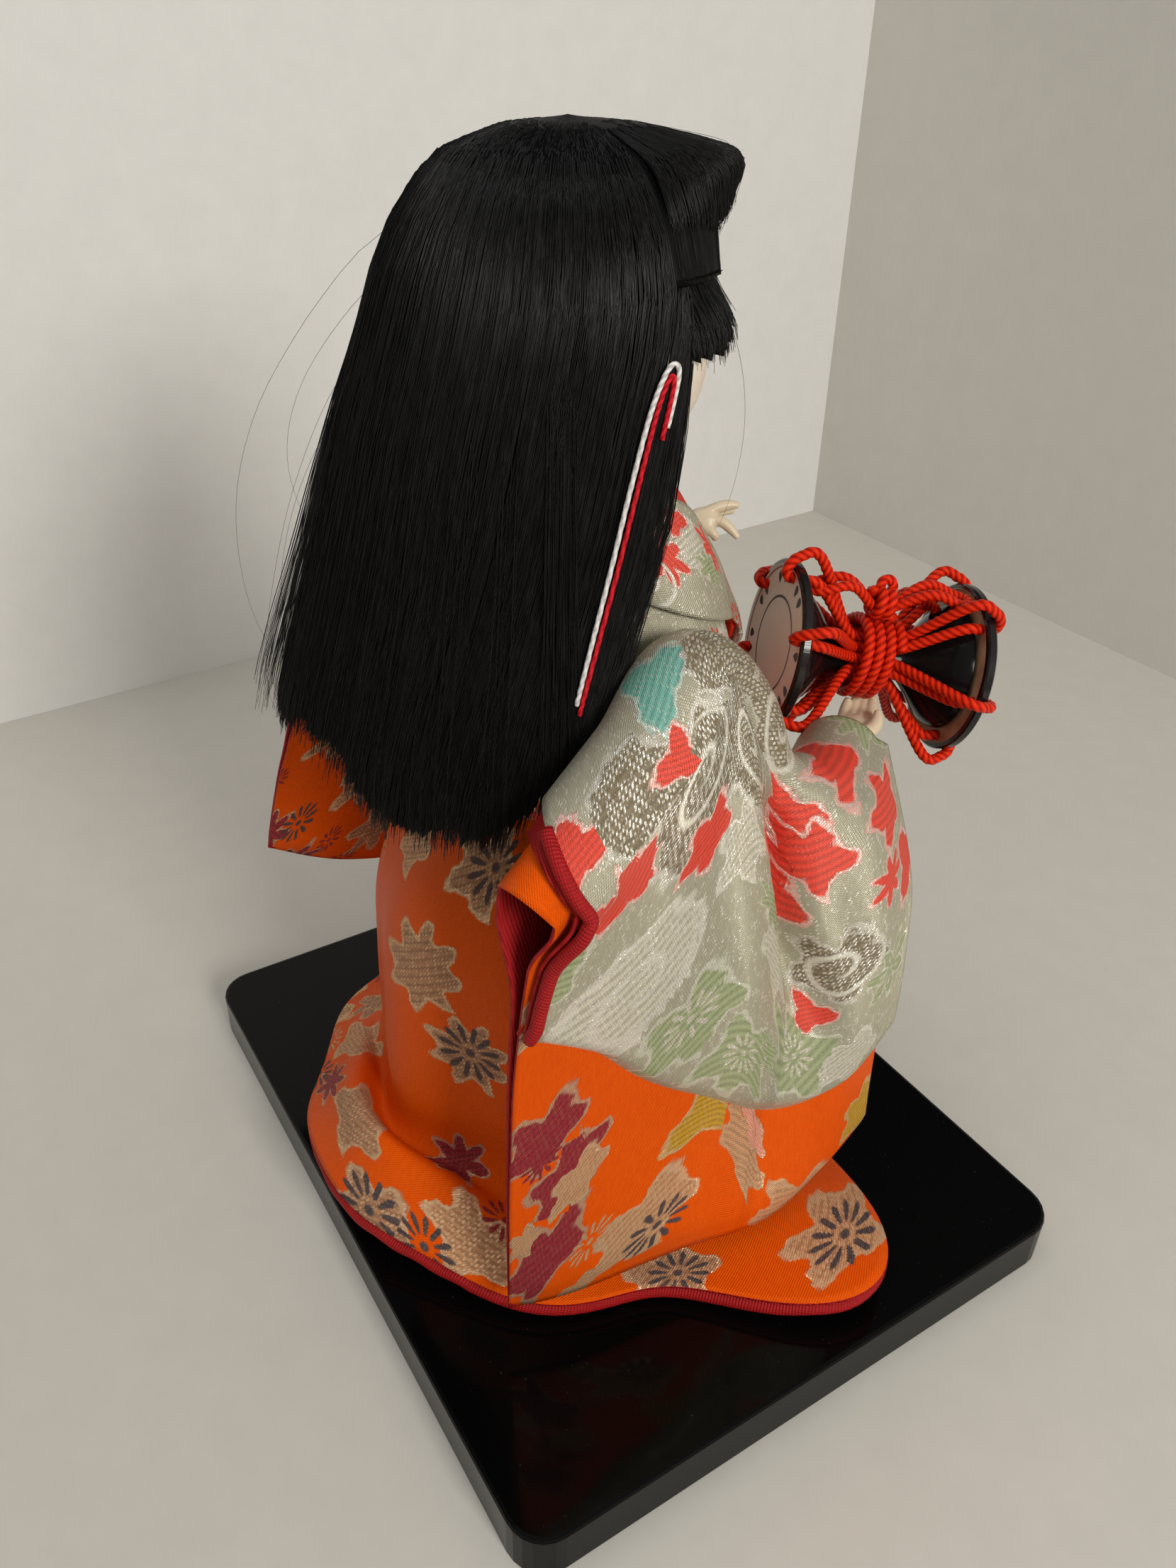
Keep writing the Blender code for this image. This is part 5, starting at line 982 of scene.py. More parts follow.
# Limbs of the hands in millimetres, x across, y along and z towards the back of the hand, with their half widths and half thicknesses
PALM = (((0, -6.5, 0), (0, -2.5, 0), (0, 1.5, 0), (0, 4.2, 0), (0, 6.4, 0.1), (0, 7.6, 0)), (1.75, 1.8, 2.4, 3.1, 3.0, 1.9), (1.6, 1.5, 1.45, 1.4, 1.2, 0.6))
HOLDING_HAND = (
    PALM,
    (((2.0, 5.0, 0), (2.3, 8.2, 0.2), (2.3, 10.6, 1.2), (2.1, 12.0, 2.8)), (1.35, 1.3, 1.2, 0.7), (1.3, 1.2, 1.1, 0.6)),
    (((0.6, 5.6, 0), (0.7, 9.0, 0.2), (0.7, 11.4, 1.3), (0.6, 12.7, 3.0)), (1.35, 1.3, 1.2, 0.7), (1.3, 1.2, 1.1, 0.6)),
    (((-0.8, 5.4, 0), (-0.9, 8.6, 0.2), (-0.9, 10.9, 1.3), (-0.9, 12.1, 2.9)), (1.3, 1.2, 1.1, 0.7), (1.25, 1.15, 1.0, 0.6)),
    (((-2.1, 4.6, 0), (-2.3, 7.4, 0.2), (-2.3, 9.2, 1.1), (-2.2, 10.2, 2.5)), (1.2, 1.1, 1.0, 0.6), (1.15, 1.0, 0.9, 0.5)),
    (((1.6, 0.2, 0.3), (3.4, 2.4, 0.8), (4.0, 4.6, 1.6), (3.8, 6.4, 2.8)), (1.5, 1.4, 1.2, 0.7), (1.4, 1.3, 1.1, 0.6)),
)
# The free hand is drawn as it is seen: x to the right of the picture, y up it and z towards the camera
POINTING_HAND = (
    (((-3, -0.4, -1.4), (1.5, 0.1, 0.7), (5.0, 0.8, 1.9), (8.0, 1.3, 2.6), (10.2, 1.4, 2.9), (11.2, 1.4, 3.0)), (1.7, 1.9, 2.7, 3.3, 3.0, 1.8), (1.6, 1.7, 2.0, 2.1, 1.8, 1.0)),
    (((8.6, 3.0, 3.0), (11.6, 4.3, 3.2), (14.2, 4.9, 3.1), (16.6, 4.8, 3.0)), (1.45, 1.35, 1.25, 0.75), (1.4, 1.3, 1.2, 0.7)),
    (((8.8, 2.4, 1.6), (11.5, 3.5, 1.3), (13.8, 4.0, 1.1), (15.8, 3.9, 1.0)), (1.35, 1.25, 1.15, 0.7), (1.3, 1.2, 1.1, 0.6)),
    (((9.8, 1.4, 3.0), (12.4, 0.9, 3.2), (14.6, -0.8, 3.1), (16.4, -3.0, 3.0)), (1.5, 1.35, 1.2, 0.7), (1.4, 1.3, 1.1, 0.6)),
    (((8.2, -0.6, 3.0), (9.9, -1.6, 3.6), (10.8, -2.5, 3.4), (10.9, -3.3, 2.6)), (1.3, 1.2, 1.1, 0.7), (1.3, 1.2, 1.1, 0.7)),
    (((6.2, -1.4, 2.6), (7.6, -2.8, 3.2), (8.3, -3.7, 2.9), (8.3, -4.3, 2.1)), (1.2, 1.1, 1.0, 0.6), (1.2, 1.1, 1.0, 0.6)),
)
for label, body, shares, limbs in (("right", "doll", RIGHT_ARM, HOLDING_HAND), ("left", "left_hand", LEFT_ARM, POINTING_HAND)):
    before, end = through(np.array(shares) * SLEEVE_REACH + SLEEVE_ROOT, [0.90, 1.0])
    ahead = Vector(end - before).normalized()
    lateral = ahead.cross(Vector((0, 0, 1))).normalized()
    place = Matrix((lateral, ahead, lateral.cross(ahead))).transposed().to_4x4()
    if label == "left":
        place = Matrix((right, back.cross(right), back)).transposed().to_4x4()
    place.translation = Vector(end) + Vector((0, 0, 0.0022 if label == "right" else 0))
    points, faces = [], []
    for route, wide, thick in limbs:
        size = MM * (0.80 if label == "left" else 1.0)
        ring_points, ring_faces = tapered(np.array(route) * size, np.array(wide) * size, np.array(thick) * size)
        faces += [[k + sum(len(p) for p in points) for k in face] for face in ring_faces]
        points.append(ring_points)
    mesh = bpy.data.meshes.new(label + "_carved_hand")
    mesh.from_pydata(np.concatenate(points).tolist(), [], faces)
    mesh.transform(place)
    work = bmesh.new()
    work.from_mesh(mesh)
    bmesh.ops.recalc_face_normals(work, faces=work.faces)
    work.to_mesh(mesh)
    work.free()
    hand = finish_piece(bpy.data.objects.new(label + "_carved_hand", mesh), body, hand_skin)
    remesh = hand.modifiers.new("even", "REMESH")
    remesh.mode = "VOXEL"
    remesh.voxel_size = 0.0002
    smooth = hand.modifiers.new("smooth", "SMOOTH")
    smooth.factor = 0.6
    smooth.iterations = 4
    apply_all(hand)
    hand.data.shade_smooth()
    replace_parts(hand, label + "_hand")

# Head

HEAD = np.array((AXIS[0], AXIS[1] - 0.0023, BOARD_TOP + 0.1585))
HEAD_HALF = np.array((0.0175, 0.0195, 0.0205))
FACE_LEVELS = (
    (0.00, 0.30, 0.40, 0.20),
    (0.03, 0.40, 0.52, 0.20),
    (0.10, 0.56, 0.72, 0.19),
    (0.22, 0.78, 0.88, 0.12),
    (0.36, 0.93, 0.97, 0.05),
    (0.52, 1.00, 1.00, 0.00),
    (0.68, 0.94, 0.95, 0.00),
    (0.82, 0.78, 0.79, 0.00),
    (0.93, 0.51, 0.52, 0.00),
    (1.00, 0.15, 0.16, 0.00),
)
face_turn = np.radians(np.arange(0, 360, 2.5))
up_share = np.linspace(0.0, 1.0, 88)
angle, up = np.meshgrid(face_turn, up_share, indexing="ij")
wide, deep, ahead = columns(FACE_LEVELS, up)
x = HEAD_HALF[0] * wide * np.cos(angle)
y = HEAD_HALF[1] * (deep * np.sin(angle) - ahead)
z = (up * 2 - 1) * HEAD_HALF[2]
front = ease((-np.sin(angle) - 0.15) / 0.6)


def lump(cx, cz, wide, tall, size):
    return size * np.exp(-(((np.abs(x) - cx) / wide) ** 2) - (((z - cz) / tall) ** 2)) * front


relief = lump(0, -0.0040, 0.0017, 0.0016, 0.0021) + lump(0, -0.0005, 0.0014, 0.0032, 0.0011)
relief += lump(0.0017, -0.0048, 0.0009, 0.0010, 0.0006)
relief += lump(0, -0.0100, 0.0027, 0.0010, 0.0009) + lump(0, -0.0118, 0.0020, 0.0009, 0.0010) - lump(0, -0.01085, 0.0030, 0.00035, 0.0008)
relief -= lump(0.0078, -0.0008, 0.0044, 0.0026, 0.0010)
relief += lump(0.0080, 0.0014, 0.0040, 0.0007, 0.0006) + lump(0.0078, -0.0034, 0.0038, 0.0008, 0.0004)
relief += lump(0, -0.0165, 0.0030, 0.0022, 0.0008) + lump(0.0100, -0.0080, 0.0050, 0.0050, 0.0005)
y = y - relief
for side in (-1, 1):
    ear = np.exp(-((((x * side - HEAD_HALF[0] * 0.98) / 0.0018) ** 2))) * np.exp(-(((y - 0.0014) / 0.0018) ** 2)) * np.exp(-((z / 0.0034) ** 2))
    x = x + side * ear * 0.0016
neck_up = np.linspace(0, 1, 14)
neck_z = -HEAD_HALF[2] - 0.017 * np.array([0.85, 0.80, 0.7, 0.6, 0.5, 0.4, 0.32, 0.25, 0.19, 0.13, 0.08, 0.04, 0.015, 0.0])
neck_r = np.interp(neck_up, [0, 0.5, 1], [0.00605, 0.0056, 0.0056])
neck_y = np.linspace(0.0023, 0.0010, 14)
grow = ease(neck_up[-14:] * 3.2 - 2.2)
nx = neck_r * mix(1.0, HEAD_HALF[0] * 0.30 / 0.0056, grow)
ny = neck_r * mix(1.0, HEAD_HALF[1] * 0.40 / 0.0056, grow)
shift = mix(neck_y, -HEAD_HALF[1] * 0.20, grow)
neck = np.stack([nx[None] * np.cos(face_turn)[:, None], ny[None] * np.sin(face_turn)[:, None] + shift[None], np.broadcast_to(neck_z, (len(face_turn), 14))], -1)
face_grid = np.concatenate([neck[:, :-1], np.stack([x, y, z], -1)], axis=1) + HEAD
head_item = grid_mesh("painted_head", face_grid[::-1], closed=True)
points = np.empty(len(head_item.data.vertices) * 3, np.float32)
head_item.data.vertices.foreach_get("co", points)
points = points.reshape(-1, 3)
loops = np.empty(len(head_item.data.loops), np.int32)
head_item.data.loops.foreach_get("vertex_index", loops)
painted = (points[loops] - HEAD) * 1000.0
face_map = np.where((painted[:, 1] < 2.0)[:, None], painted[:, [0, 2]], 99.0)
head_item.data.uv_layers.new(name="face").data.foreach_set("uv", face_map.reshape(-1).astype(np.float32))
finish_piece(head_item, "head", face_skin)
work = bmesh.new()
work.from_mesh(head_item.data)
bmesh.ops.holes_fill(work, edges=[e for e in work.edges if e.is_boundary])
bmesh.ops.recalc_face_normals(work, faces=work.faces)
work.to_mesh(head_item.data)
work.free()
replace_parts(head_item, "head")

# Hair: combed shells under loose strands

HAIR_TOP = BOARD_TOP + 0.1855
HAIR_DROP, HAIR_REACH, HAIR_WALL = 0.0905, 0.050, 0.0066
HAIR_PROFILE = (
    (0.000, 0.00, 0.00, 0.00),
    (0.012, 0.18, 0.16, 0.22),
    (0.045, 0.35, 0.31, 0.48),
    (0.110, 0.46, 0.42, 0.47),
    (0.187, 0.54, 0.48, 0.43),
    (0.276, 0.60, 0.52, 0.43),
    (0.393, 0.68, 0.54, 0.44),
    (0.518, 0.75, 0.56, 0.44),
    (0.650, 0.82, 0.58, 0.44),
    (0.786, 0.90, 0.63, 0.44),
    (0.900, 0.96, 0.69, 0.44),
    (1.000, 0.98, 0.73, 0.44),
)
HAIR_EDGE = ((0.19, 184.0), (0.39, 174.0), (0.53, 167.0), (0.66, 160.0), (0.80, 153.0), (1.00, 147.0))


def hair(angle, drop, out=0.0):
    """Points of the hair's outer surface."""
    rear_reach, side_reach, front_reach = columns(HAIR_PROFILE, drop / HAIR_DROP)
    s = np.sin(angle)
    rear, front = np.maximum(s, 0) ** 2, np.maximum(-s, 0) ** 2
    reach = (rear * rear_reach + front * front_reach + (1 - rear - front) * side_reach) * HAIR_REACH + out
    return np.stack(np.broadcast_arrays(AXIS[0] + np.cos(angle) * reach, AXIS[1] + s * reach, HAIR_TOP - drop), -1)


def edge_degrees(drop):
    return columns([(a, b, 0.0) for a, b in HAIR_EDGE], drop / HAIR_DROP)[0]


def on_skull(points, gap=0.0009):
    away = points - HEAD
    size = np.sqrt(((away / (HEAD_HALF + gap)) ** 2).sum(-1, keepdims=True))
    return HEAD + away / size


def hair_shell(name, outer, inner, body, replaced, closed=False):
    """A closed solid of hair between two grids, its outer face combed."""
    rows, across = outer.shape[:2]
    faces, i, j = grid_faces(rows, across, closed)
    points = np.concatenate([outer.reshape(-1, 3), inner.reshape(-1, 3)])
    shift = rows * across
    quads = [faces, faces[:, ::-1] + shift]
    span = np.arange(rows if closed else rows - 1)
    after = (span + 1) % rows
    for j_end, order in ((0, 1), (across - 1, -1)):
        rim = np.stack([after * across + j_end, span * across + j_end, span * across + j_end + shift, after * across + j_end + shift], -1)
        quads.append(rim[:, ::order])
    if not closed:
        span = np.arange(across - 1)
        for i_end, order in ((0, 1), (rows - 1, -1)):
            rim = np.stack([i_end * across + span, i_end * across + span + 1, i_end * across + span + 1 + shift, i_end * across + span + shift], -1)
            quads.append(rim[:, ::order])
    quads = np.concatenate(quads)
    mesh = bpy.data.meshes.new(name)
    mesh.from_pydata(points.tolist(), [], quads.tolist())
    turn = np.arctan2(points[:, 1] - AXIS[1], points[:, 0] - AXIS[0])
    flat = np.stack([turn * 0.03, HAIR_TOP - points[:, 2]], -1)[quads]
    wrap = flat[:, :, 0].max(1) - flat[:, :, 0].min(1) > 0.09
    flat[wrap, :, 0] = np.where(flat[wrap, :, 0] < 0, flat[wrap, :, 0] + math.tau * 0.03, flat[wrap, :, 0])
    mesh.uv_layers.new(name="cloth").data.foreach_set("uv", flat.reshape(-1).astype(np.float32))
    item = finish_piece(bpy.data.objects.new(name, mesh), body, hair_silk)
    work = bmesh.new()
    work.from_mesh(mesh)
    bmesh.ops.remove_doubles(work, verts=work.verts, dist=1e-6)
    bmesh.ops.recalc_face_normals(work, faces=work.faces)
    work.to_mesh(mesh)
    work.free()
    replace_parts(item, *replaced)
    return item


def lock_relief(angle, drop, size):
    """Locks and finer strands that run down the hair."""
    a = np.degrees(angle)
    drift = np.sin(drop * 60.0 + a * 0.11) * 1.4
    return size * (0.5 * np.sin(a * 0.83 + drift) + 0.3 * np.sin(a * 2.3 + 1.0 + drift) + 0.35 * np.sin(a * 5.1 + 2.0))


HAIR_ENDS = ((27, 0.930), (60, 0.915), (80, 0.905), (98, 0.885), (106, 0.930), (114, 0.990), (136, 1.000), (142, 0.955), (148, 0.900))


def hair_end(degrees):
    """Drop at which the hanging hair ends in that direction."""
    return columns([(a, b, 0.0) for a, b in HAIR_ENDS], degrees)[0] * HAIR_DROP


across, down = 361, 60
share = np.linspace(0, 1, across)[:, None]
ragged = noise.normal(0, 0.0006, across) + 0.0008 * np.sin(np.linspace(0, 60, across)) + 0.0004 * np.sin(np.linspace(0, 260, across))
foot = HAIR_EDGE[-1][1]
drop = mix(0.0175 + 2 * REST_GAP, hair_end(mix(180.0 - foot, foot, share)) - 0.0010 + ragged[:, None], np.linspace(0, 1, down)[None])
edge = edge_degrees(drop)
angle = np.radians(mix(180.0 - edge, edge, share))
outer = hair(angle, drop, lock_relief(angle, drop, 0.00028) * ease(drop / 0.04) - 0.0004)
middle = np.stack([np.full(drop.shape, HEAD[0]), np.full(drop.shape, HEAD[1]), np.minimum(HEAD[2], outer[..., 2])], -1)
inner = outer + unit(middle - outer) * HAIR_WALL
skull = on_skull(outer)
near = np.linalg.norm(skull - outer, axis=-1) < HAIR_WALL
inner = np.where(near[..., None], skull, inner)
hair_shell("hanging_hair", outer, inner, "head", ["hair_fall"])

turn = round_angles(300)
end = np.where(from_front(turn) < 55.0, 0.0085 + REST_GAP, 0.0175 + 2 * REST_GAP)
drop = end[:, None] * np.linspace(0.004, 1, 26)[None] ** 1.5
angle = np.broadcast_to(turn[:, None], drop.shape)
outer = hair(angle, drop, lock_relief(angle, drop, 0.00016) * ease(drop / 0.006) - 0.0003 * ease(drop / 0.004))
hair_shell("crown_hair", outer, on_skull(outer), "head", ["hair_crown"], closed=True)
def front_end(degrees):
    """Drop at which the front hair is cut in that direction: long over the brow, notched at each temple."""
    off = abs(degrees - 270.0)
    return float(columns(((0, 0.0195, 0), (10, 0.0192, 0), (20, 0.0150, 0), (30, 0.0112, 0), (46, 0.0108, 0), (54, 0.0135, 0), (57, 0.0235, 0), (66, 0.0262, 0), (84, 0.0262, 0)), off)[0])


def front_flare(drop):
    """The front hair springs out under the crown, draws in at the temple and turns out again at its tips."""
    return 0.0010 * np.exp(-(((drop - 0.0055) / 0.0025) ** 2)) - 0.0022 * np.exp(-(((drop - 0.0165) / 0.0040) ** 2)) + 0.0012 * ease((drop - 0.019) / 0.006)


for name, start, stop, high, low, node, ragged_size in (
    ("fringe_hair", 215.0, 325.0, 0.0085, 0.0195, "bangs", 0.0012),
    ("right_cheek_lock", 188.0, 214.0, 0.0175, 0.0260, "right_side_lock", 0.0012),
    ("left_cheek_lock", 326.0, 352.0, 0.0175, 0.0260, "left_side_lock", 0.0012),
):
    count = int((stop - start) * 2.0)
    degrees = np.linspace(start, stop, count)
    turn = np.radians(degrees)
    tips = np.array([front_end(d) for d in degrees]) - 0.0006 + noise.normal(0, ragged_size * 0.5, count) + ragged_size * 0.6 * np.sin(np.linspace(0, count * 0.5, count))
    drop = mix(high, np.maximum(tips, high + 0.0015)[:, None], np.linspace(0, 1, 12)[None])
    angle = np.broadcast_to(turn[:, None], drop.shape)
    outer = hair(angle, drop, lock_relief(angle, drop, 0.0002) + front_flare(drop) * ease((drop - high) / 0.001))
    hair_shell(name, outer, on_skull(outer, 0.0007), "head", [node])


def strands(name, lines, radius):
    """Many single hairs as one curve."""
    curve = bpy.data.curves.new(name, "CURVE")
    curve.dimensions = "3D"
    curve.bevel_depth = radius
    curve.bevel_resolution = 0
    for line in lines:
        spline = curve.splines.new("POLY")
        spline.points.add(len(line) - 1)
        spline.points.foreach_set("co", np.concatenate([line, np.ones((len(line), 1))], 1).reshape(-1).astype(np.float32))
        spline.points.foreach_set("radius", np.linspace(1.0, 0.55, len(line)).astype(np.float32))
    return finish_piece(bpy.data.objects.new(name, curve), "head", strand_silk)


def hair_lines(count, start, stop, first, last, points, lift, spread, by_edge=False, front=False):
    """Lines of hair between two directions in degrees, from one drop to another, with uneven tips."""
    found = []
    for _ in range(count):
        share = dice.random()
        end = (front_end(mix(start, stop, share)) if front else last) + dice.gauss(0.0, spread)
        if by_edge:
            foot = HAIR_EDGE[-1][1]
            end += float(hair_end(np.array([mix(180.0 - foot, foot, share)]))[0]) - HAIR_DROP
        drop = mix(first + dice.random() * 0.004, end, np.linspace(0, 1, points) ** 1.15)
        if by_edge:
            edge = edge_degrees(drop)
            degrees = mix(180.0 - edge, edge, share)
        else:
            degrees = np.full(points, mix(start, stop, share))
        degrees = degrees + np.cumsum([dice.gauss(0.0, 0.35) for _ in range(points)]) * np.linspace(0, 1, points)
        raise_by = lift * (0.15 + dice.random() ** 3) * np.linspace(0.4, 1.0, points)
        relief = lock_relief(np.radians(degrees), drop, 0.00024)
        if front:
            relief = relief + front_flare(drop)
        found.append(hair(np.radians(degrees), drop, relief + raise_by))
    return found


def loose_lines(count, start, stop, first, spread, far):
    """Hairs that leave the mass as they fall, and end a few millimetres outside it."""
    found = []
    for _ in range(count):
        degrees = mix(start, stop, dice.random())
        end = float(hair_end(np.array([min(max(degrees, 33.0), 147.0)]))[0]) - abs(dice.gauss(0.0, spread))
        drop = mix(first + dice.random() * 0.020, end, np.linspace(0, 1, 16))
        out = far * dice.random() ** 1.3 * ease((drop - first) / (end - first)) + 0.0004
        sway = degrees + dice.gauss(0, 1.2) * np.linspace(0, 1, 16) ** 2
        found.append(hair(np.radians(sway), drop, out))
    return found


def front_edge_lines(count, side):
    """Thin hair in front of the hanging mass, from the cheek down beside the robe."""
    found = []
    for _ in range(count):
        share = dice.random()
        drop = np.linspace(0.018 + dice.random() * 0.010, 0.086 - 0.012 * share + dice.gauss(0, 0.0014), 18)
        degrees = edge_degrees(drop) + mix(0.5, 13.0, share ** 1.3) * np.sin(np.clip((drop - 0.010) / 0.080, 0, 1) * math.pi) ** 0.8
        degrees = degrees + np.cumsum([dice.gauss(0.0, 0.18) for _ in range(18)])
        out = 0.0002 + 0.0006 * dice.random()
        found.append(hair(np.radians(degrees if side > 0 else 180.0 - degrees), drop, out))
    return found


strands("back_strands", hair_lines(1500, 0, 0, 0.0006, HAIR_DROP - 0.0004, 13, 0.0006, 0.0014, True), 0.000075)
strands("back_strands_fine", hair_lines(1500, 0, 0, 0.0006, HAIR_DROP - 0.0012, 13, 0.0004, 0.0020, True), 0.00005)
strands("loose_side_strands", loose_lines(200, 36.0, 84.0, 0.020, 0.003, 0.0046) + loose_lines(90, 84.0, 140.0, 0.030, 0.002, 0.0022), 0.00005)
strands("edge_strands", loose_lines(110, 144.0, 152.0, 0.028, 0.004, 0.0016) + loose_lines(110, 28.0, 36.0, 0.028, 0.004, 0.0016), 0.00006)
strands("right_front_strands", front_edge_lines(340, 1), 0.00006)
strands("left_front_strands", front_edge_lines(340, -1), 0.00006)
strands("fringe_strands", hair_lines(760, 213.0, 327.0, 0.0006, 0.0196, 9, 0.0006, 0.0009, front=True), 0.00006)
strands("cheek_strands", hair_lines(280, 187.0, 214.5, 0.001, 0.0264, 9, 0.0007, 0.0010, front=True) + hair_lines(280, 325.5, 353.0, 0.001, 0.0264, 9, 0.0007, 0.0010, front=True), 0.00006)
stray = []
for k, (direction, first, last, far) in enumerate(((68, 0.014, 0.078, 0.0125), (52, 0.022, 0.064, 0.0085), (78, 0.030, 0.084, 0.0060), (60, 0.038, 0.080, 0.0048), (205, 0.020, 0.052, 0.0030), (262, 0.001, 0.012, 0.0030))):
    drop = np.linspace(first, last, 24)
    bow = np.sin(np.linspace(0, math.pi, 24)) ** 0.8 * far
    stray.append(hair(np.radians(direction + 6 * np.sin(np.linspace(0, 2.5 + k * 0.2, 24))), drop, bow))
strands("stray_hairs", stray, 0.00003)

CORD_ROUTE = ((0.80, 0.25), (0.70, 0.15), (0.58, 0.05), (0.46, 0.0), (0.36, 0.10), (0.315, 0.45), (0.325, 0.95), (0.40, 1.0))
for side, label in ((-1, "right"), (1, "left")):
    for index, (colour, finish) in enumerate((("red", red_paper_cord), ("white", white_paper_cord))):
        route = []
        for drop_share, forward in CORD_ROUTE:
            drop = (drop_share - 0.016 * index * min(max(forward * 4.0, 0.0), 1.0)) * HAIR_DROP
            degrees = float(edge_degrees(np.array([drop]))[0]) + mix(-1.6, 2.4, forward) + index * mix(-2.2, 1.0, forward)
            direction = math.radians(degrees if side < 0 else 180.0 - degrees)
            route.append(hair(np.array([direction]), np.array([drop]), 0.00040 + 2 * FIT_GAP)[0])
        line = through(np.array(route), np.linspace(0, 1, 90))
        cord = finish_piece(tube_mesh(f"{label}_{colour}_paper_cord", line, 0.00038, 12, plies=2, lay=3.5), "head", finish)
        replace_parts(cord, f"{label}_hair_cord_{colour}")

# Drum

DRUM_CENTER = Vector((-0.014, -0.046, BOARD_TOP + 0.099))
DRUM_LENGTH, WAIST_R, CUP_R, HEAD_R, HEAD_WALL, RIM = 0.036, 0.0032, 0.0115, 0.0153, 0.0019, 0.0011
WAIST_HALF, CORD = 0.0055, 0.00100
heading, dip = math.radians(245.3), math.radians(10.3)
drum_ahead = Vector((math.cos(heading) * math.cos(dip), math.sin(heading) * math.cos(dip), -math.sin(dip)))
drum_side = Vector((0, 0, 1)).cross(drum_ahead).normalized()
drum_frame = Matrix((drum_side, drum_ahead.cross(drum_side), drum_ahead)).transposed().to_4x4()
drum_frame.translation = DRUM_CENTER


def drum_points(points):
    rotation = np.array(drum_frame.to_3x3())
    return np.asarray(points) @ rotation.T + np.array(DRUM_CENTER)


def turned_piece(name, profile, body, finish, replaced):
    """A turned piece, drawn ring by ring from a circle, then set on the drum's axis."""
    (radius, height), rest = profile[0], profile[1:]
    bpy.ops.mesh.primitive_circle_add(vertices=96, radius=radius, fill_type="NGON", location=(0, 0, height))
    item = bpy.context.object
    item.name = name
    bpy.ops.object.mode_set(mode="EDIT")
    bpy.ops.mesh.select_all(action="SELECT")
    for ring_radius, ring_height in rest:
        bpy.ops.mesh.extrude_region_move(TRANSFORM_OT_translate={"value": (0, 0, ring_height - height)})
        bpy.ops.transform.resize(value=(ring_radius / radius, ring_radius / radius, 1.0), center_override=(0, 0, ring_height))
        radius, height = ring_radius, ring_height
    bpy.ops.mesh.select_all(action="SELECT")
    bpy.ops.mesh.normals_make_consistent(inside=False)
    bpy.ops.object.mode_set(mode="OBJECT")
    item.select_set(False)
    item.data.transform(item.matrix_world)
    item.matrix_world = Matrix.Identity(4)
    flat = np.array([(v.co.x / HEAD_R, v.co.y / HEAD_R) for v in item.data.vertices])
    index = np.empty(len(item.data.loops), np.int32)
    item.data.loops.foreach_get("vertex_index", index)
    layer = item.data.uv_layers.new(name="drumhead")
    layer.data.foreach_set("uv", flat[index].reshape(-1).astype(np.float32))
    item.data.transform(drum_frame)
    for collection in list(item.users_collection):
        collection.objects.unlink(item)
    finish_piece(item, body, finish)
    item.data.set_sharp_from_angle(angle=math.radians(35.0))
    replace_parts(item, *replaced)
    return item


def drumhead(name, skin, mottle, marks):
    """Painted skin: a thin black ring and pairs of drop marks, with a dark band near the rim."""
    made, tree, shader = material(name, skin, 0.45, Specular_IOR_Level=0.4)
    place = tree.node("UVMap", uv_map="drumhead").outputs["UV"]
    sep = tree.node("SeparateXYZ", {0: place}).outputs
    radius = tree.vector("LENGTH", place)
    colour = tree.mix(tree.noise(place, 3.2, 4.0, 0.65), skin, mottle)
    ring = tree.step(0.024, tree.math("ABSOLUTE", tree.math("SUBTRACT", radius, 0.56)), 60.0)
    turn = tree.math("FRACT", tree.math("MULTIPLY", tree.math("ARCTAN2", sep["Y"], sep["X"]), 8.0 / math.tau))
    pair = tree.math("SUBTRACT", tree.math("ABSOLUTE", tree.math("SUBTRACT", turn, 0.5)), 0.15)
    apart = tree.math("DIVIDE", pair, tree.math("MULTIPLY", tree.math("SUBTRACT", radius, 0.62), 0.50))
    along = tree.math("DIVIDE", tree.math("SUBTRACT", radius, 0.79), 0.080)
    size = tree.math("ADD", tree.math("MULTIPLY", apart, apart), tree.math("MULTIPLY", along, along))
    drop = tree.math("MULTIPLY", tree.step(1.0, size, 3.0), marks)
    line = tree.math("MULTIPLY", tree.step(0.014, tree.math("ABSOLUTE", tree.math("SUBTRACT", radius, 0.90)), 70.0), marks)
    band = tree.step(radius, 0.925, 80.0)
    for mask, paint in ((tree.math("MULTIPLY", ring, marks), (0.012, 0.009, 0.008)), (drop, (0.012, 0.009, 0.008)), (line, (0.16, 0.012, 0.008)), (band, (0.008, 0.006, 0.006))):
        colour = tree.mix(mask, colour, paint)
    feed(tree, shader, Base_Color=colour)
    feed(tree, shader, Roughness=tree.math("SUBTRACT", 0.5, tree.math("MULTIPLY", band, 0.34)))
    bumped(tree, shader, tree.noise(place, 30.0, 3.0), 0.00006, 0.5)
    return made


half = DRUM_LENGTH / 2 - HEAD_WALL - REST_GAP
cup = half - WAIST_HALF
steps = np.linspace(0, 1, 14)
outside = [(float(mix(CUP_R, WAIST_R, ease(t))), -half + cup * t) for t in steps]
outside += [(r, -z) for r, z in outside[::-1]]
inner_lip = CUP_R - 0.0012
inside_walk = [(inner_lip, half), (mix(WAIST_R * 0.55, inner_lip, 0.45), half * 0.72), (WAIST_R * 0.55, WAIST_HALF), (WAIST_R * 0.55, -WAIST_HALF), (mix(WAIST_R * 0.55, inner_lip, 0.45), -half * 0.72), (inner_lip, -half)]


def ring_walk(name, profile):
    """Rings of points round the drum's axis, from a closed profile."""
    turn = round_angles(96)
    rings = np.array([[(r * math.cos(a), r * math.sin(a), z) for r, z in profile + profile[:1]] for a in turn])
    return grid_mesh(name, drum_points(rings), closed=True)


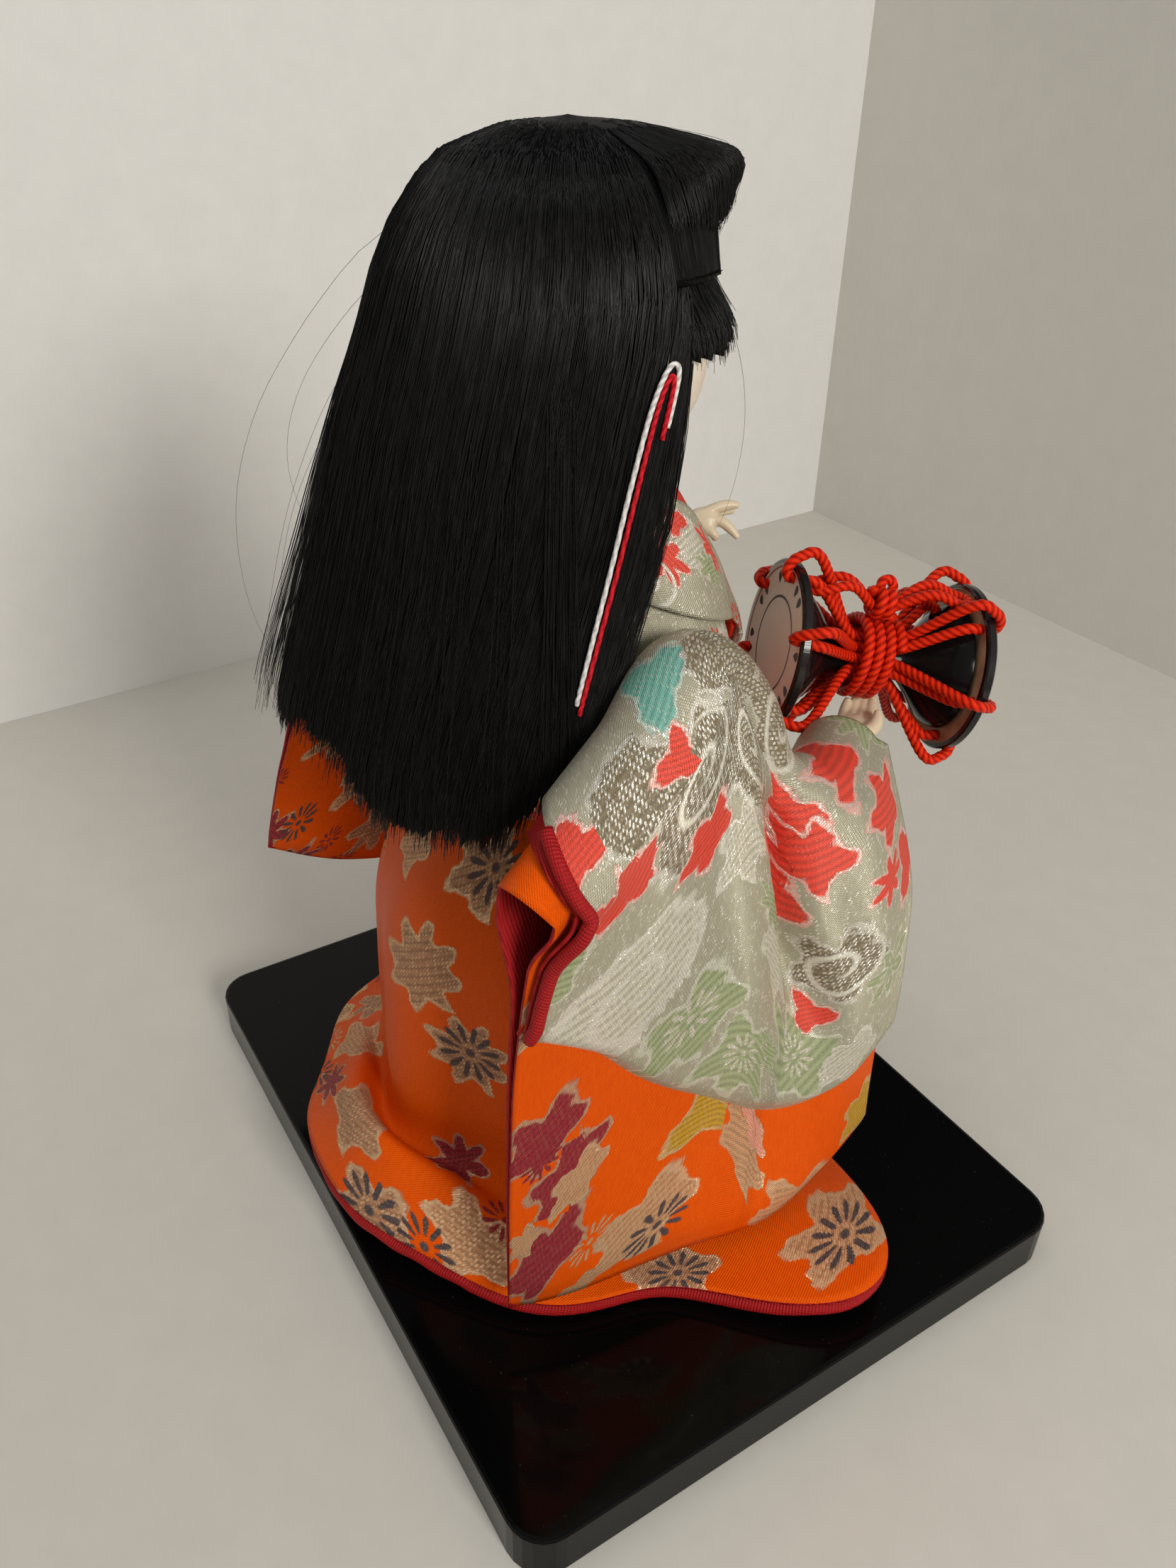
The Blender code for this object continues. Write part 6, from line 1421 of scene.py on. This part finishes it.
body_item = ring_walk("turned_drum_body", outside + inside_walk)
finish_piece(body_item, "doll", drum_lacquer)
work = bmesh.new()
work.from_mesh(body_item.data)
bmesh.ops.remove_doubles(work, verts=work.verts, dist=1e-6)
bmesh.ops.recalc_face_normals(work, faces=work.faces)
work.to_mesh(body_item.data)
work.free()
body_item.data.set_sharp_from_angle(angle=math.radians(35.0))
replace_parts(body_item, "drum_body")
near_skin = drumhead("painted_near_skin", (0.78, 0.66, 0.54), (0.86, 0.77, 0.66), 1.0)
far_skin = drumhead("mottled_far_skin", (0.16, 0.030, 0.004), (0.78, 0.56, 0.34), 0.0)
start = half + REST_GAP
end = start + HEAD_WALL
lip = HEAD_R - RIM
for name, sign, finish, node in (("near_drumhead", -1, near_skin, "drum_head_near"), ("far_drumhead", 1, far_skin, "drum_head_far")):
    profile = [(lip - 0.0012, start + HEAD_WALL * 0.25), (lip - 0.0003, start + HEAD_WALL * 0.2), (lip, start), (HEAD_R - 0.0003, start + 0.0001), (HEAD_R, start + RIM * 0.35), (HEAD_R, end - RIM * 0.35), (HEAD_R - 0.0003, end - 0.0001), (lip, end), (lip - 0.0004, end - HEAD_WALL * 0.12), (lip - 0.0009, end - HEAD_WALL * 0.2)]
    turned_piece(name, [(r, sign * z) for r, z in profile], "doll", finish, [node])


def polar(radius, angle, along):
    return (radius * math.cos(angle), radius * math.sin(angle), along)


def evenly(points, step):
    """A closed line's points, the same distance apart all round."""
    ring = np.concatenate([points, points[:1]])
    far = np.concatenate([[0], np.cumsum(np.linalg.norm(np.diff(ring, axis=0), axis=1))])
    wanted = np.linspace(0, far[-1], int(far[-1] / step) + 1)[:-1]
    return np.stack([np.interp(wanted, far, ring[:, k]) for k in range(3)], -1)


# Each leg comes through a hole in one head, passes under the lashing, goes over the other head's rim and down its face
LASH_TURNS, LASH_PITCH = 3.4, 0.00206
rim_r, hole_r = HEAD_R + REST_GAP + CORD, CUP_R + REST_GAP + CORD
face = DRUM_LENGTH / 2 + CORD
waist_r = WAIST_R + REST_GAP + CORD
held_half = LASH_TURNS * LASH_PITCH / 2 + CORD
leg_route = (
    (0.00, HEAD_R * 0.96, face),
    (0.05, hole_r + 0.0003, face * 0.98),
    (0.09, hole_r, DRUM_LENGTH / 2 - HEAD_WALL),
    (0.15, hole_r - 0.0004, DRUM_LENGTH / 2 - HEAD_WALL - 0.0035),
    (0.40, waist_r, held_half),
    (0.50, waist_r, 0.0),
    (0.60, waist_r, -held_half),
    (0.86, rim_r, -DRUM_LENGTH * 0.36),
    (0.94, rim_r, -DRUM_LENGTH / 2 + 0.0008),
)
route = []
for leg in range(12):
    sign = -1.0 if leg % 2 else 1.0
    for share, radius, along in leg_route:
        route.append(polar(radius, math.tau * (leg + share) / 12, along * sign))
route = np.array(route)
loop = np.concatenate([route[-2:], route, route[:3]])
fine = through(loop, np.linspace(2 / (len(loop) - 1), (len(loop) - 3) / (len(loop) - 1), len(route) * 16 + 1))[:-1]
fine = evenly(fine, 0.00033)
laced = finish_piece(tube_mesh("drum_lacing", drum_points(fine), CORD, 15, closed=True, plies=3, lay=2.0), "doll", vermilion_cord)
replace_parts(laced, "drum_tension_cord")
lash_r = waist_r + 2 * CORD + REST_GAP
lash = [polar(lash_r, math.tau * t, (t - LASH_TURNS / 2) * LASH_PITCH + 0.0009 * math.sin(math.tau * t)) for t in np.linspace(0, LASH_TURNS, 361)]
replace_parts(finish_piece(tube_mesh("drum_lashing", drum_points(lash), CORD, 15, plies=3, lay=2.0), "doll", vermilion_cord), "drum_waist_lashing")
rise = lash_r + 2 * CORD + FIT_GAP
# Loops of the bow: where the far end lies along the drum, across it and up, its half width, and how high it arches
for label, along, over, up, wide, arch in (
    ("near", -0.0140, 0.0010, 0.0022, 0.0026, 0.0030),
    ("far", 0.0150, -0.0010, 0.0042, 0.0030, 0.0030),
    ("far_low", 0.0140, 0.0070, -0.0010, 0.0022, 0.0026),
    ("top", 0.0005, 0.0016, 0.0052, 0.0013, 0.0),
):
    t = np.linspace(0.0, 1.0, 120)
    toward = np.array((over, up, along))
    across = unit(np.cross(toward, (0.0, 1.0, 0.0) if arch else (1.0, 0.0, 0.0)))
    swell = np.sin(math.pi * t)
    loop = np.array((0.0, rise, 0.0)) + toward * swell[:, None] + across * (wide * np.sin(math.tau * t) * mix(0.7, 1.0, swell))[:, None]
    loop[:, 1] += arch * np.sin(math.pi * swell) ** 2
    piece = tube_mesh(f"drum_bow_{label}_loop", drum_points(loop), CORD * 0.95, 15, plies=3, lay=2.0)
    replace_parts(finish_piece(piece, "doll", vermilion_cord), "drum_bow")
t = np.linspace(0, 2.6, 180)
knot = np.stack([0.0021 * np.sin(math.tau * t), rise + 0.0012 + 0.0020 * np.cos(math.tau * t), mix(-0.0022, 0.0022, t / 2.6)], -1)
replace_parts(finish_piece(tube_mesh("drum_bow_knot", drum_points(knot), CORD, 15, plies=3, lay=2.0), "doll", vermilion_cord), "drum_bow")

# Floor, backdrop and light


def stage_grid(name, colour, points, one_sided):
    """A flat of the room. A wall is seen only from its front, so that it hides nothing from behind."""
    mesh = bpy.data.meshes.new(name)
    mesh.from_pydata(points, [], [(0, 1, 2, 3)])
    item = bpy.data.objects.new(name, mesh)
    bpy.context.scene.collection.objects.link(item)
    made, tree, shader = material(name + "_paint", colour, 0.75, Specular_IOR_Level=0.2)
    place = tree.node("TexCoord").outputs["Object"]
    tone = tree.noise(place, 90.0, 4.0, 0.7)
    feed(tree, shader, Base_Color=tree.mix(tone, tuple(c * 0.94 for c in colour), tuple(min(c * 1.05, 1.0) for c in colour)))
    if one_sided:
        clear = tree.node("BsdfTransparent").outputs[0]
        behind = tree.node("NewGeometry").outputs["Backfacing"]
        both = tree.node("MixShader", {0: behind, 1: shader.outputs[0], 2: clear}).outputs[0]
        tree.tree.links.new(both, made.node_tree.nodes["Material Output"].inputs["Surface"])
    item.data.materials.append(made)


stage_grid("pale_floor", (0.59, 0.565, 0.51), [(-3, -3, -0.0001), (3, -3, -0.0001), (3, 3, -0.0001), (-3, 3, -0.0001)], False)
stage_grid("left_wall", (0.77, 0.76, 0.735), [(0.272, -0.299, 0), (0.272, -0.299, 0.27), (0.21, 0.75, 0.27), (0.21, 0.75, 0)], True)
# The right wall's paint is darker than the left wall's: painted shade, added to the shade that the key lamp gives it
stage_grid("right_wall", (0.62, 0.60, 0.55), [(-0.60, -0.298, 0), (-0.60, -0.298, 0.27), (0.272, -0.298, 0.27), (0.272, -0.298, 0)], True)

world = bpy.data.worlds.new("soft_room")
bpy.context.scene.world = world
world.use_nodes = True
sky = Tree(world.node_tree)
toward = sky.vector("DOT_PRODUCT", sky.node("TexCoord").outputs["Object"], (-0.72, 0.20, 0.66))
shade = sky.mix(sky.step(toward, 0.0, 1.1), (0.10, 0.10, 0.105), (0.80, 0.78, 0.75))
background = world.node_tree.nodes["Background"]
world.node_tree.links.new(shade, background.inputs["Color"])
background.inputs["Strength"].default_value = 0.6


def soft_lamp(name, place, power, size, warmth):
    light = bpy.data.lights.new(name, "AREA")
    light.energy = power
    light.size = size
    light.color = warmth
    item = bpy.data.objects.new(name, light)
    bpy.context.scene.collection.objects.link(item)
    item.location = place
    item.rotation_euler = (Vector((0, 0, 0.09)) - Vector(place)).to_track_quat("-Z", "Y").to_euler()


soft_lamp("key_lamp", (-0.85, 0.02, 0.52), 6.0, 0.26, (1.0, 0.97, 0.92))
soft_lamp("fill_lamp", (0.10, 0.20, 0.95), 1.3, 0.5, (0.95, 0.97, 1.0))
